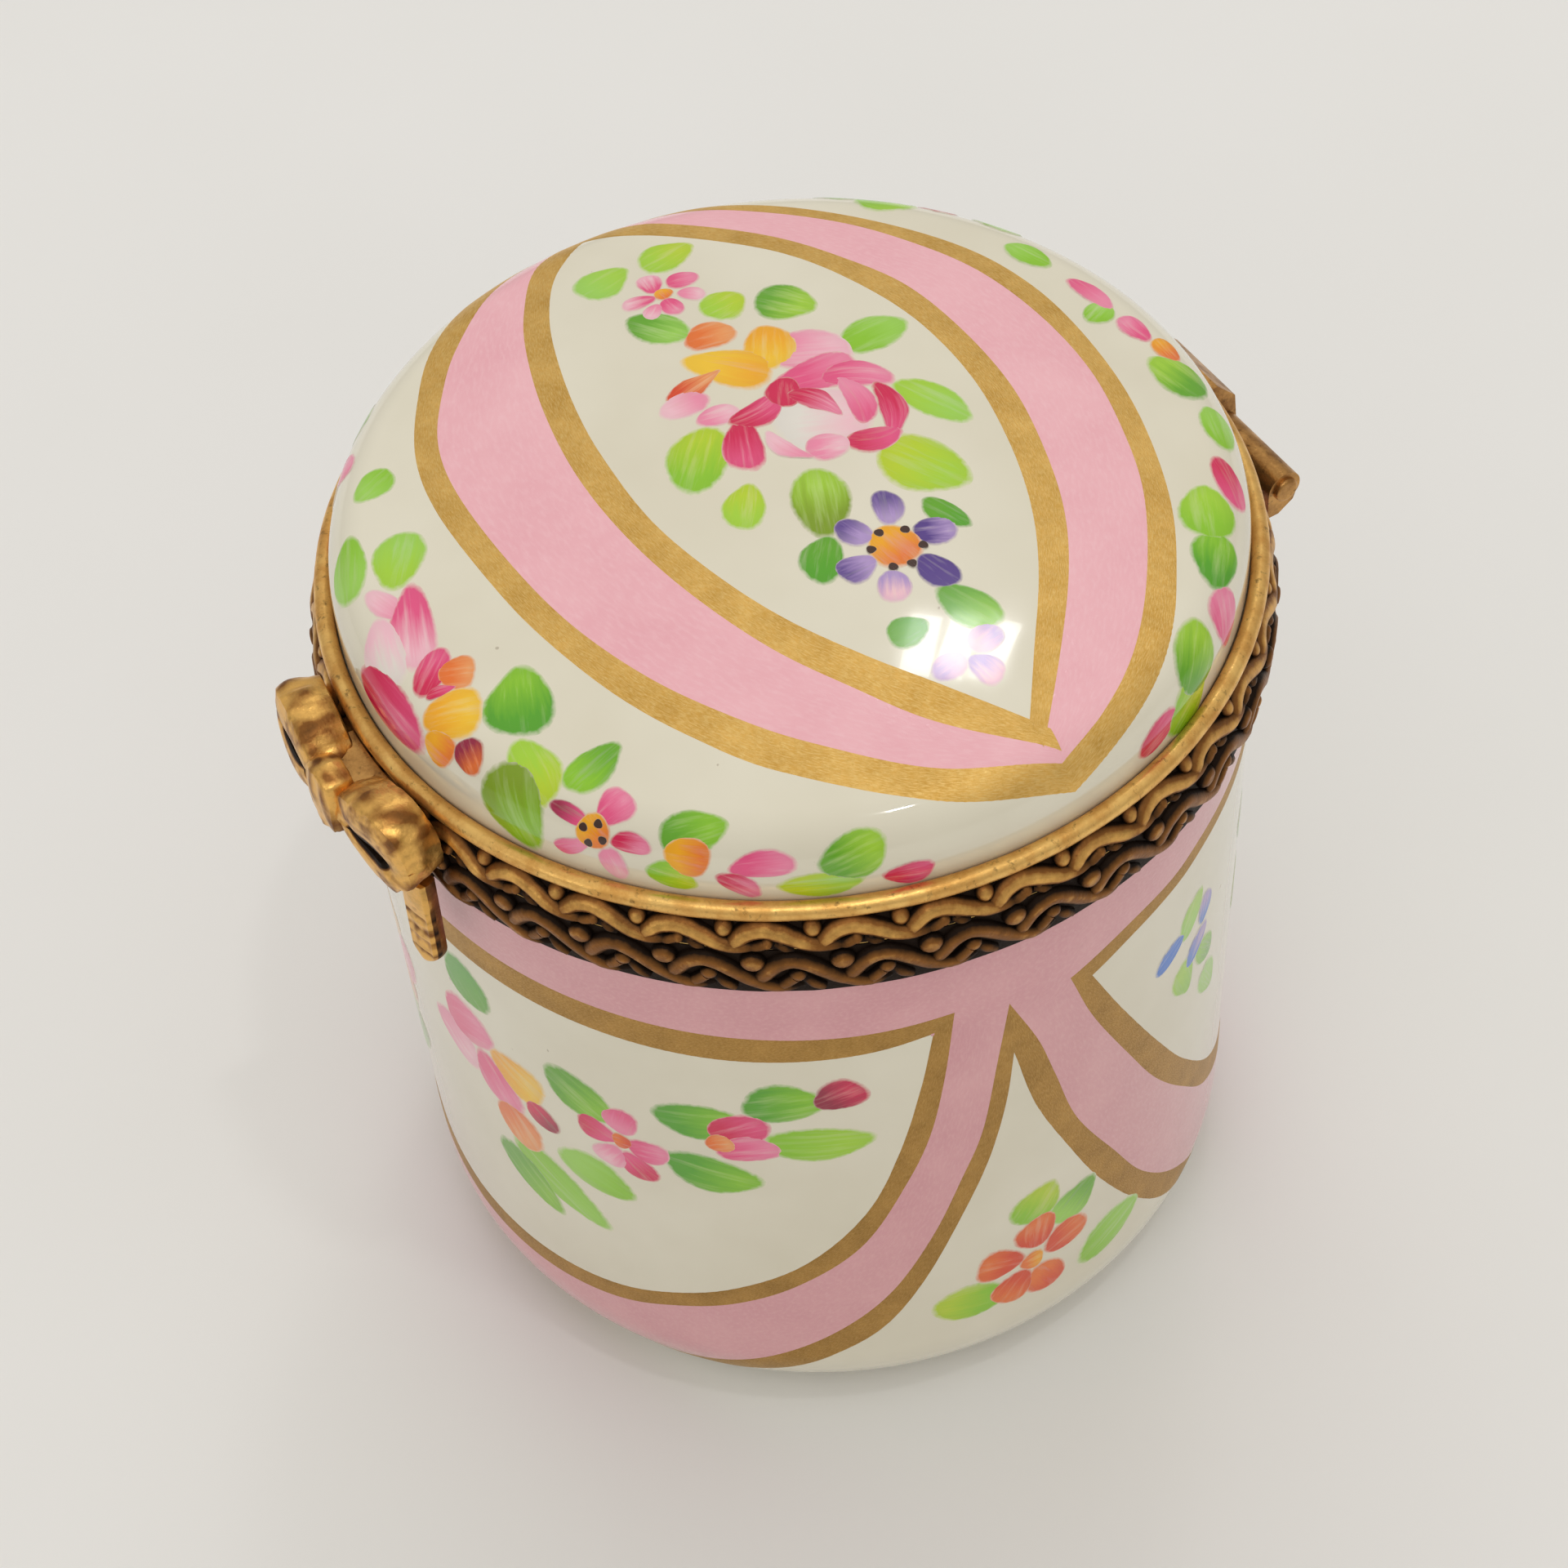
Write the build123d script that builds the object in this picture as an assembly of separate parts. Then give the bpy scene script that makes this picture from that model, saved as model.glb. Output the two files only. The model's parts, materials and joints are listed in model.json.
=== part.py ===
from build123d import *
import os
from math import cos, radians, sin, tan

# Small round porcelain hat box with a domed lid. Each half is cemented into a brass rim, and the rims
# are hinged together. Millimetres, +Z up. The origin is the centre of the foot, on the surface that
# the box stands on. The clasp is at -Y, the hinge at +Y, and the rims meet at the height SEAM.

# Overall
SEAM = 44.2
RIM_R = 25.0  # widest radius of both rims, at the seam
RUN = 0.05  # gap that each rim keeps from the seam plane

# Cup
CUP_TOP_R = 23.8
CUP_LOW_R = 22.9
CUP_CORNER_R = 6.2
CUP_INNER_TOP_R = 21.2
CUP_INNER_LOW_R = 20.5
CUP_FLOOR_Z = 3.2
CUP_FLOOR_FILLET = 4.0
CUP_RIM_Z = SEAM - 0.6
REBATE_R = 23.45  # outside of the part that the lower rim covers
REBATE_Z = SEAM - 3.3
FOOT_R = CUP_LOW_R - CUP_CORNER_R  # flat unglazed foot

# Lid
LID_R = 23.3
LID_BURIED_R = 23.1
LID_INNER_R = 21.7
SHOULDER_R = 2.6
SHOULDER_Z = SEAM + 4.0
CROWN_EDGE_SLOPE = 10.0  # degrees, where the crown meets the shoulder

# Lower rim: an angle-section ring with a register lip, and a patterned strip round it
LOWER_WALL_IN_R = 23.85
LOWER_WALL_OUT_R = 24.3
LOWER_WALL_Z = SEAM - 3.25
LOWER_TOP_Z = SEAM - RUN
LOWER_FLANGE_Z = LOWER_TOP_Z - 0.4
LIP_IN_R = 20.9
LIP_OUT_R = 21.3
LIP_Z = SEAM + 0.7
LOWER_STRIP_Z = SEAM - 3.4
LOWER_STRIP_BOTTOM_R = 24.75

# Upper rim: a flaring ring, a patterned strip round it and a round wire along its top edge
WIRE_R = 0.5
WIRE_RING_R = 23.82
WIRE_Z = SEAM + 2.15
UPPER_BOTTOM_Z = SEAM + RUN
UPPER_FLANGE_Z = UPPER_BOTTOM_Z + 0.5
UPPER_TOP_Z = WIRE_Z - WIRE_R
UPPER_FLANGE_IN_R = 21.75
UPPER_IN_BOTTOM_R = 23.95
UPPER_IN_TOP_R = 23.35
UPPER_OUT_BOTTOM_R = 24.45
UPPER_OUT_TOP_R = 23.75
STRIP_TOP_R = 24.3

# Hinge: three knuckles of one tube on a wire pin, soldered to the rims through small leaves
HINGE_Y = 25.32
HINGE_Z = SEAM - 1.6
KNUCKLE_R = 1.0
KNUCKLE_GAP = 0.1
CENTRE_HALF = 2.6
BARREL_HALF = 8.2
PIN_R = 0.45
PIN_SNUG_GAP = 0.01
PIN_RUNNING_GAP = 0.04
PIN_HEAD_R = 0.7
PIN_HEAD = 0.3
PIN_HEAD_FILLET = 0.18
SOLDER = 0.01
SEAT_Y = HINGE_Y - KNUCKLE_R - SOLDER  # flat filed on the lower strip, behind the barrel
CENTRE_SEAT_Y = HINGE_Y - KNUCKLE_R - 0.15  # deeper behind the turning knuckle
SEAT_Z = HINGE_Z - KNUCKLE_R - 0.1
SEAT_CUT = 2.0
SEAT_END_GAP = 0.1
UPPER_LEAF_IN_Y = CENTRE_SEAT_Y + 0.25
UPPER_LEAF_TOP_Z = UPPER_TOP_Z - 0.1
UPPER_LEAF_BEND_Y = HINGE_Y + 0.85
UPPER_LEAF_BEND_Z = SEAM + 0.3
LOWER_LEAF_FOOT_Z = LOWER_STRIP_Z + 0.1
LOWER_LEAF_BEND_Y = HINGE_Y + 0.6

# Clasp: a block on the upper strip, a cast bow on its face, a spring tongue, and the bead that the
# tongue snaps over
BLOCK_SPAN = 10.0  # degrees
BLOCK_OUT_R = 26.1
BLOCK_BOTTOM_Z = SEAM + 0.2
TONGUE_SPAN = 6.5  # degrees
TONGUE_IN_R = 25.65
TONGUE_OUT_R = 25.9
TONGUE_BOTTOM_Z = SEAM - 3.0
NOSE_R = 0.25
NOSE_REACH_R = 25.5
NOSE_Z = SEAM - 2.5
NOSE_LENGTH = 1.6
BEAD_R = 0.45
BEAD_REACH_R = 25.35
BEAD_Z = SEAM - 1.5
BOW_BACK_R = 25.3
BOW_BACK_TOP_R = 24.5
BOW_Z = SEAM + 0.6
BOW_FACE_R = 27.3
LOOP_TURN = 7.6  # degrees from the knot to the middle of each loop
LOOP_HALF = 3.0
LOOP_HEIGHT_HALF = 2.9
LOOP_HOLE_HALF = 1.8
LOOP_HOLE_HEIGHT_HALF = 0.85
KNOT_FACE_R = 27.7
KNOT_HALF = 1.4
KNOT_HEIGHT_HALF = 2.2
KNOT_BACK_R = BLOCK_OUT_R - 0.4
KNOT_FILLET = 0.7
POCKET_SPAN = BLOCK_SPAN + 0.2  # degrees, room behind the knot for the block and the tongue
TAIL_TURN = 12.5  # degrees
TAIL_WIDTH = 1.9
TAIL_THICKNESS = 1.1
TAIL_TOP_Z = SEAM - 1.2
TAIL_BOTTOM_Z = SEAM - 7.4
TAIL_FILLET = 0.35

# How far the upper strip's outside leans, in radius per height
UPPER_FLARE = (RIM_R - STRIP_TOP_R) / (UPPER_TOP_Z - UPPER_BOTTOM_Z)


def section(points):
    """Face in the XZ plane from (radius, height) points."""
    corners = [(radius, 0, height) for radius, height in points]
    return make_face(Polyline(*corners, close=True))


def turned(points):
    return revolve(section(points), Axis.Z)


def front_sector(points, span):
    """A turned shape kept only within span degrees, centred on -Y."""
    return Rot(0, 0, -90 - span / 2) * revolve(section(points), Axis.Z, span)


def on_front(turn, radius, height):
    """Place turn degrees round from -Y, where a shape's own -Y faces outwards."""
    angle = radians(turn)
    return Pos(radius * sin(angle), -radius * cos(angle), height) * Rot(0, 0, turn)


def barrel(x_from, x_to, radius):
    """Cylinder on the hinge axis."""
    return Pos((x_from + x_to) / 2, HINGE_Y, HINGE_Z) * Rot(0, 90, 0) * Cylinder(radius, x_to - x_from)


def arc(centre, radius, start, sweep):
    return CenterArc(centre, radius, start, sweep)


def cup():
    outside = [
        arc((FOOT_R, CUP_CORNER_R), CUP_CORNER_R, -90, 90),
        Polyline(
            (CUP_LOW_R, CUP_CORNER_R),
            (CUP_TOP_R, REBATE_Z),
            (REBATE_R, REBATE_Z),
            (REBATE_R, CUP_RIM_Z),
            (CUP_INNER_TOP_R, CUP_RIM_Z),
            (CUP_INNER_LOW_R, CUP_FLOOR_Z + CUP_FLOOR_FILLET),
        ),
    ]
    fillet_r = CUP_INNER_LOW_R - CUP_FLOOR_FILLET
    inside = [
        arc((fillet_r, CUP_FLOOR_Z + CUP_FLOOR_FILLET), CUP_FLOOR_FILLET, -90, 90),
        Polyline(
            (fillet_r, CUP_FLOOR_Z),
            (0, CUP_FLOOR_Z),
            (0, 0),
            (FOOT_R, 0),
        ),
    ]
    return revolve(Plane.XZ * make_face(Curve() + outside + inside), Axis.Z)


def dome(wall_r, shoulder_r):
    """Shoulder arc, the crown arc that it runs into, and the height of the crown at the axis."""
    centre_r = wall_r - shoulder_r
    lean = 90 - CROWN_EDGE_SLOPE
    shoulder = arc((centre_r, SHOULDER_Z), shoulder_r, 0, lean)
    meet_r = centre_r + shoulder_r * cos(radians(lean))
    meet_z = SHOULDER_Z + shoulder_r * sin(radians(lean))
    crown_r = meet_r / sin(radians(CROWN_EDGE_SLOPE))
    crown_z = meet_z + meet_r * tan(radians(CROWN_EDGE_SLOPE / 2))
    crown = arc((0, crown_z - crown_r), crown_r, lean, CROWN_EDGE_SLOPE)
    return shoulder, crown, crown_z


def lid_shell():
    shoulder, crown, crown_z = dome(LID_R, SHOULDER_R)
    wall = LID_R - LID_INNER_R
    inner_shoulder, inner_crown, inner_crown_z = dome(LID_INNER_R, SHOULDER_R - wall)
    edge = Polyline(
        (LID_INNER_R, SHOULDER_Z),
        (LID_INNER_R, UPPER_FLANGE_Z),
        (LID_BURIED_R, UPPER_FLANGE_Z),
        (LID_BURIED_R, UPPER_TOP_Z),
        (LID_R, WIRE_Z),
        (LID_R, SHOULDER_Z),
    )
    axis_line = Line((0, crown_z), (0, inner_crown_z))
    outline = Curve() + [edge, shoulder, crown, axis_line, inner_crown, inner_shoulder]
    return revolve(Plane.XZ * make_face(outline), Axis.Z)


def cup_cement():
    """Bedding between the cup's rim and the lower rim."""
    return turned(
        [
            (REBATE_R, REBATE_Z),
            (LOWER_WALL_IN_R, REBATE_Z),
            (LOWER_WALL_IN_R, LOWER_FLANGE_Z),
            (CUP_INNER_TOP_R, LOWER_FLANGE_Z),
            (CUP_INNER_TOP_R, CUP_RIM_Z),
            (REBATE_R, CUP_RIM_Z),
        ]
    )


def lid_cement():
    """Bedding between the lid's wall and the upper rim."""
    return turned(
        [
            (LID_BURIED_R, UPPER_FLANGE_Z),
            (UPPER_IN_BOTTOM_R, UPPER_FLANGE_Z),
            (UPPER_IN_TOP_R, UPPER_TOP_Z),
            (LID_BURIED_R, UPPER_TOP_Z),
        ]
    )


def filed_flat(half, inner_y):
    """Block of metal filed away outside inner_y, from the seat up to the seam."""
    height = SEAM - SEAT_Z
    block = Box(2 * half, SEAT_CUT, height)
    return Pos(0, inner_y + SEAT_CUT / 2, SEAT_Z + height / 2) * block


def hinge_seat():
    """What is filed off the lower rim for the barrel."""
    whole = filed_flat(BARREL_HALF + SEAT_END_GAP, SEAT_Y)
    return whole + filed_flat(CENTRE_HALF + KNUCKLE_GAP, CENTRE_SEAT_Y)


def lower_bezel():
    ring = turned(
        [
            (LOWER_WALL_IN_R, LOWER_WALL_Z),
            (LOWER_WALL_OUT_R, LOWER_WALL_Z),
            (LOWER_WALL_OUT_R, LOWER_TOP_Z),
            (LIP_OUT_R, LOWER_TOP_Z),
            (LIP_OUT_R, LIP_Z),
            (LIP_IN_R, LIP_Z),
            (LIP_IN_R, LOWER_FLANGE_Z),
            (LOWER_WALL_IN_R, LOWER_FLANGE_Z),
        ]
    )
    return ring - hinge_seat()


def lower_gallery():
    """Strip of cast relief round the lower bezel, as a plain ring as deep as the relief."""
    ring = turned(
        [
            (LOWER_WALL_OUT_R, LOWER_STRIP_Z),
            (LOWER_STRIP_BOTTOM_R, LOWER_STRIP_Z),
            (RIM_R, LOWER_TOP_Z),
            (LOWER_WALL_OUT_R, LOWER_TOP_Z),
        ]
    )
    return ring - hinge_seat()


def upper_bezel():
    return turned(
        [
            (UPPER_FLANGE_IN_R, UPPER_BOTTOM_Z),
            (UPPER_OUT_BOTTOM_R, UPPER_BOTTOM_Z),
            (UPPER_OUT_TOP_R, UPPER_TOP_Z),
            (UPPER_IN_TOP_R, UPPER_TOP_Z),
            (UPPER_IN_BOTTOM_R, UPPER_FLANGE_Z),
            (UPPER_FLANGE_IN_R, UPPER_FLANGE_Z),
        ]
    )


def upper_gallery():
    """Strip of cast relief round the upper bezel, as a plain ring as deep as the relief."""
    return turned(
        [
            (UPPER_OUT_BOTTOM_R, UPPER_BOTTOM_Z),
            (RIM_R, UPPER_BOTTOM_Z),
            (STRIP_TOP_R, UPPER_TOP_Z),
            (UPPER_OUT_TOP_R, UPPER_TOP_Z),
        ]
    )


def rim_wire():
    return revolve(Plane.XZ * Pos(WIRE_RING_R, WIRE_Z) * Circle(WIRE_R), Axis.Z)


def knuckle(x_from, x_to, hole_r):
    return barrel(x_from, x_to, KNUCKLE_R) - barrel(x_from, x_to, hole_r)


def hinge_pin():
    """Wire pin, spread into a low head at each end."""
    pin = barrel(-BARREL_HALF, BARREL_HALF, PIN_R)
    for side, end_edges in ((-1, 0), (1, -1)):
        head = Cylinder(PIN_HEAD_R, PIN_HEAD)
        head = fillet(head.edges().filter_by(GeomType.CIRCLE).sort_by(Axis.Z)[end_edges], PIN_HEAD_FILLET)
        pin += Pos(side * (BARREL_HALF + PIN_HEAD / 2), HINGE_Y, HINGE_Z) * Rot(0, 90, 0) * head
    return pin


def across_hinge(points, x_from, x_to):
    """Solid from (y, height) points, as long as the given stretch of the barrel."""
    corners = [(x_from, y, height) for y, height in points]
    return extrude(make_face(Polyline(*corners, close=True)), amount=x_to - x_from, dir=(1, 0, 0))


def upper_hinge_leaf():
    """Leaf from the upper strip down to the centre knuckle."""
    leaf = across_hinge(
        [
            (UPPER_LEAF_IN_Y, HINGE_Z),
            (UPPER_LEAF_IN_Y, UPPER_BOTTOM_Z),
            (UPPER_OUT_TOP_R, UPPER_BOTTOM_Z),
            (UPPER_OUT_TOP_R, UPPER_LEAF_TOP_Z),
            (RIM_R, UPPER_LEAF_TOP_Z),
            (UPPER_LEAF_BEND_Y, UPPER_LEAF_BEND_Z),
            (HINGE_Y + KNUCKLE_R, HINGE_Z),
        ],
        -CENTRE_HALF,
        CENTRE_HALF,
    )
    leaf -= barrel(-CENTRE_HALF, CENTRE_HALF, KNUCKLE_R)
    return leaf - turned(
        [(0, UPPER_BOTTOM_Z), (RIM_R, UPPER_BOTTOM_Z), (STRIP_TOP_R, UPPER_TOP_Z), (0, UPPER_TOP_Z)]
    )


def lower_hinge_leaves():
    """Fillets of metal under the two outer knuckles, down the lower strip."""
    leaves = Part()
    strip = lower_gallery()
    inner_x = CENTRE_HALF + KNUCKLE_GAP
    for x_from, x_to in ((-BARREL_HALF, -inner_x), (inner_x, BARREL_HALF)):
        block = across_hinge(
            [
                (SEAT_Y, HINGE_Z),
                (HINGE_Y + KNUCKLE_R, HINGE_Z),
                (LOWER_LEAF_BEND_Y, SEAT_Z),
                (RIM_R, LOWER_LEAF_FOOT_Z),
                (SEAT_Y, LOWER_LEAF_FOOT_Z),
            ],
            x_from,
            x_to,
        )
        leaves += block - barrel(x_from, x_to, KNUCKLE_R) - strip
    return leaves


def catch_bead():
    """Bead on the lower strip that the clasp's tongue snaps over."""
    bead = Pos(0, BEAD_R - BEAD_REACH_R, BEAD_Z) * Sphere(BEAD_R)
    strip = [(0, LOWER_STRIP_Z), (LOWER_STRIP_BOTTOM_R, LOWER_STRIP_Z), (RIM_R, LOWER_TOP_Z), (0, LOWER_TOP_Z)]
    return bead - turned(strip)


def clasp_block():
    """Block soldered on the upper strip, which carries the bow and the tongue."""
    foot_r = RIM_R - UPPER_FLARE * (BLOCK_BOTTOM_Z - UPPER_BOTTOM_Z)
    return front_sector(
        [
            (foot_r, BLOCK_BOTTOM_Z),
            (BLOCK_OUT_R, BLOCK_BOTTOM_Z),
            (BLOCK_OUT_R, UPPER_TOP_Z),
            (STRIP_TOP_R, UPPER_TOP_Z),
        ],
        BLOCK_SPAN,
    )


def clasp_tongue():
    """Thin spring strip with a small nose on its inner face."""
    strip = front_sector(
        [
            (TONGUE_IN_R, TONGUE_BOTTOM_Z),
            (TONGUE_OUT_R, TONGUE_BOTTOM_Z),
            (TONGUE_OUT_R, BLOCK_BOTTOM_Z),
            (TONGUE_IN_R, BLOCK_BOTTOM_Z),
        ],
        TONGUE_SPAN,
    )
    return strip + Pos(0, -NOSE_REACH_R - NOSE_R, NOSE_Z) * Rot(0, 90, 0) * Cylinder(NOSE_R, NOSE_LENGTH)


def bow_loop(side):
    """One flattened loop of ribbon, seen from its open side."""
    ring = Ellipse(LOOP_HALF, LOOP_HEIGHT_HALF) - Ellipse(LOOP_HOLE_HALF, LOOP_HOLE_HEIGHT_HALF)
    return on_front(side * LOOP_TURN, BOW_BACK_TOP_R, BOW_Z) * extrude(
        Plane.XZ * ring, BOW_FACE_R - BOW_BACK_TOP_R
    )


def bow_tail(side):
    bar = Box(TAIL_WIDTH, TAIL_THICKNESS, TAIL_TOP_Z - TAIL_BOTTOM_Z)
    bar = fillet(bar.edges().filter_by(Axis.Z), TAIL_FILLET)
    middle_z = (TAIL_TOP_Z + TAIL_BOTTOM_Z) / 2
    return on_front(side * TAIL_TURN, BOW_BACK_R + TAIL_THICKNESS / 2, middle_z) * bar


def clasp_bow():
    """Cast ribbon bow: two loops, a knot and two short tails."""
    knot = Box(2 * KNOT_HALF, KNOT_FACE_R - KNOT_BACK_R, 2 * KNOT_HEIGHT_HALF)
    knot = fillet(knot.edges(), KNOT_FILLET)
    bow = on_front(0, (KNOT_FACE_R + KNOT_BACK_R) / 2, BOW_Z) * knot
    for side in (-1, 1):
        bow += bow_loop(side)
        bow += bow_tail(side)
    behind = turned(
        [
            (0, TAIL_BOTTOM_Z - 1),
            (BOW_BACK_R, TAIL_BOTTOM_Z - 1),
            (BOW_BACK_R, UPPER_BOTTOM_Z),
            (BOW_BACK_TOP_R, UPPER_TOP_Z),
            (BOW_BACK_TOP_R, SEAM + 6),
            (0, SEAM + 6),
        ]
    )
    pocket = front_sector(
        [
            (RIM_R - 2, TONGUE_BOTTOM_Z - 1),
            (BLOCK_OUT_R, TONGUE_BOTTOM_Z - 1),
            (BLOCK_OUT_R, UPPER_TOP_Z),
            (RIM_R - 2, UPPER_TOP_Z),
        ],
        POCKET_SPAN,
    )
    return bow - behind - pocket


def nodes():
    outer = CENTRE_HALF + KNUCKLE_GAP
    snug = PIN_R + PIN_SNUG_GAP
    return {
        "cup": cup(),
        "cup_cement": cup_cement(),
        "lower_bezel": lower_bezel(),
        "lower_gallery": lower_gallery(),
        "lower_hinge_leaves": lower_hinge_leaves(),
        "hinge_knuckle_left": knuckle(-BARREL_HALF, -outer, snug),
        "hinge_knuckle_right": knuckle(outer, BARREL_HALF, snug),
        "hinge_pin": hinge_pin(),
        "catch_bead": catch_bead(),
        "lid_shell": lid_shell(),
        "lid_cement": lid_cement(),
        "upper_bezel": upper_bezel(),
        "upper_gallery": upper_gallery(),
        "rim_wire": rim_wire(),
        "upper_hinge_leaf": upper_hinge_leaf(),
        "hinge_knuckle_centre": knuckle(-CENTRE_HALF, CENTRE_HALF, PIN_R + PIN_RUNNING_GAP),
        "clasp_block": clasp_block(),
        "clasp_tongue": clasp_tongue(),
        "clasp_bow": clasp_bow(),
    }


os.makedirs("parts", exist_ok=True)
for name, shape in nodes().items():
    export_step(shape, f"parts/{name}.step")
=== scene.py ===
import json
import math
import random
import bpy
from mathutils import Matrix, Vector, noise

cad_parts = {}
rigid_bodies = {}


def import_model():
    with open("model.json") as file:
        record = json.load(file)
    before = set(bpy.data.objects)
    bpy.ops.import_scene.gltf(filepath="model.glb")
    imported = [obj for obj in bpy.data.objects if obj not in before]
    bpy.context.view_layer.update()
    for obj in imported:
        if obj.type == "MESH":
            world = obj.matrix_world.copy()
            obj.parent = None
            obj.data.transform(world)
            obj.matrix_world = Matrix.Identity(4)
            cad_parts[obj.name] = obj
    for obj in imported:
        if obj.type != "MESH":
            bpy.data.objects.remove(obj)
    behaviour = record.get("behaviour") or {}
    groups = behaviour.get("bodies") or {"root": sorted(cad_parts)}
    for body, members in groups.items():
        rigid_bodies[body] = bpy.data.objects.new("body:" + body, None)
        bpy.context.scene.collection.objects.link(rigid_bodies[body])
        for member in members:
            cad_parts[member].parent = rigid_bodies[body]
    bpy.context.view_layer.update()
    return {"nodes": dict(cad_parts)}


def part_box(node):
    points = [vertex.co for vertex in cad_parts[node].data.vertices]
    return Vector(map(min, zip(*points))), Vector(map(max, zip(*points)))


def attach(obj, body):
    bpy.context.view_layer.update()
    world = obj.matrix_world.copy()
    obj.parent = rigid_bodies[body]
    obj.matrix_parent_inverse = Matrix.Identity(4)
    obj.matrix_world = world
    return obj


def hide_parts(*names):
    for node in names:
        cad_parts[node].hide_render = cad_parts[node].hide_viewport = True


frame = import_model()
print("frame loaded")

mm = 0.001
weldGap = 0.002 * mm
# Height where the two rims meet
seam = (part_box("lower_gallery")[1].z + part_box("upper_gallery")[0].z) / 2 / mm
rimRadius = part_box("lower_gallery")[1].x / mm


def letGo():
    bpy.ops.object.select_all(action="DESELECT")


def pickOnly(piece):
    letGo()
    piece.select_set(True)
    bpy.context.view_layer.objects.active = piece


def twinOf(piece, name):
    twin = piece.copy()
    twin.data = piece.data.copy()
    twin.name = name
    bpy.context.scene.collection.objects.link(twin)
    return twin


def joinUp(parts, name):
    letGo()
    for part in parts:
        part.select_set(True)
    bpy.context.view_layer.objects.active = parts[0]
    bpy.ops.object.join()
    joined = bpy.context.object
    joined.name = name
    joined.data.name = name
    return joined


def settle(piece):  # place, turn and scale go into the mesh
    pickOnly(piece)
    bpy.ops.object.transform_apply(location=True, rotation=True, scale=True)


def editAll(piece):
    pickOnly(piece)
    bpy.ops.object.mode_set(mode="EDIT")
    bpy.ops.mesh.select_all(action="SELECT")


def editDone():
    bpy.ops.object.mode_set(mode="OBJECT")


def faceOut(piece, weld=True):
    editAll(piece)
    if weld:
        bpy.ops.mesh.remove_doubles(threshold=weldGap)
    bpy.ops.mesh.normals_make_consistent(inside=False)
    editDone()


def smoothBy(piece, degrees):
    pickOnly(piece)
    bpy.ops.object.shade_smooth_by_angle(angle=math.radians(degrees))


def finishPiece(piece, body, finish, stands=()):
    piece.data.materials.clear()
    piece.data.materials.append(finish)
    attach(piece, body)
    if stands:
        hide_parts(*stands)
    return piece


def srgb(red, green, blue):
    def curve(value):
        value = value / 255
        return value / 12.92 if value <= 0.04045 else ((value + 0.055) / 1.055) ** 2.4

    return (curve(red), curve(green), curve(blue), 1.0)


fineSteps = 24  # short steps that each stretch of a curve is measured in


def curveThrough(points, count):  # even steps along a smooth line through the points, and its length
    pts = [Vector(p) for p in points]
    pts = [2 * pts[0] - pts[1]] + pts + [2 * pts[-1] - pts[-2]]
    fine = []
    for i in range(1, len(pts) - 2):
        a, b, c, d = pts[i - 1 : i + 3]
        for k in range(fineSteps):
            t = k / fineSteps
            bend = (2 * a - 5 * b + 4 * c - d) * t * t
            twist = (3 * b - a - 3 * c + d) * t**3
            fine.append(0.5 * (2 * b + (c - a) * t + bend + twist))
    fine.append(pts[-2])
    reach = [0.0]
    for a, b in zip(fine, fine[1:]):
        reach.append(reach[-1] + (b - a).length)
    out = []
    k = 0
    for i in range(count + 1):
        want = reach[-1] * i / count
        while k < len(fine) - 2 and reach[k + 1] < want:
            k += 1
        span = reach[k + 1] - reach[k]
        out.append(fine[k].lerp(fine[k + 1], (want - reach[k]) / span if span else 0))
    return out, reach[-1]


class Nodes:  # the nodes of one material, or of the sky, ending in one shader
    def __init__(self, owner, shader="Principled BSDF"):
        owner.use_nodes = True
        self.owner = owner
        self.tree = owner.node_tree
        self.shader = self.tree.nodes[shader]

    def feed(self, node, wires):
        for name, source in wires.items():
            if isinstance(source, bpy.types.NodeSocket):
                self.tree.links.new(source, node.inputs[name])
            else:
                node.inputs[name].default_value = source

    def put(self, kind, wires=None, **settings):
        node = self.tree.nodes.new(kind)
        for key, value in settings.items():
            setattr(node, key, value)
        self.feed(node, wires or {})
        return node.outputs

    def noise(self, scale, detail=3, rough=0.55, at=None, stretch=None):
        place = at or self.put("ShaderNodeTexCoord")["Object"]
        if stretch:
            place = self.put("ShaderNodeMapping", {"Vector": place, "Scale": stretch})["Vector"]
        wires = {"Vector": place, "Scale": scale, "Detail": detail, "Roughness": rough}
        return self.put("ShaderNodeTexNoise", wires)["Fac"]

    def spread(self, value, low, high, toLow=0.0, toHigh=1.0):
        wires = {"Value": value, "From Min": low, "From Max": high, "To Min": toLow, "To Max": toHigh}
        return self.put("ShaderNodeMapRange", wires)["Result"]

    def maths(self, operation, first, second=0.0):
        return self.put("ShaderNodeMath", {0: first, 1: second}, operation=operation)[0]

    def times(self, first, second):
        return self.maths("MULTIPLY", first, second)

    def swing(self, value, size):  # from half the size below nothing to half above it
        return self.times(self.maths("SUBTRACT", value, 0.5), size)

    def blend(self, factor, first, second):
        return self.put("ShaderNodeMix", {"Factor": factor, 6: first, 7: second}, data_type="RGBA")[2]

    def tag(self, name):
        return self.put("ShaderNodeAttribute", attribute_name=name)

    def brushed(self):
        return self.put("ShaderNodeUVMap", uv_map="UVMap")["UV"]

    def bump(self, height, strength, depth):
        wires = {"Height": height, "Strength": strength, "Distance": depth * mm}
        self.feed(self.shader, {"Normal": self.put("ShaderNodeBump", wires)["Normal"]})

    def finish(self, wires):
        self.feed(self.shader, wires)
        return self.owner


def newFinish(name):
    return Nodes(bpy.data.materials.new(name))


glazeLook = {
    "white": srgb(232, 226, 206),
    "shade": srgb(224, 217, 195),
    "speck": srgb(150, 130, 105),
    "roughness": 0.05,
    "waviness": 0.08,  # how uneven the glaze lies
}


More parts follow.
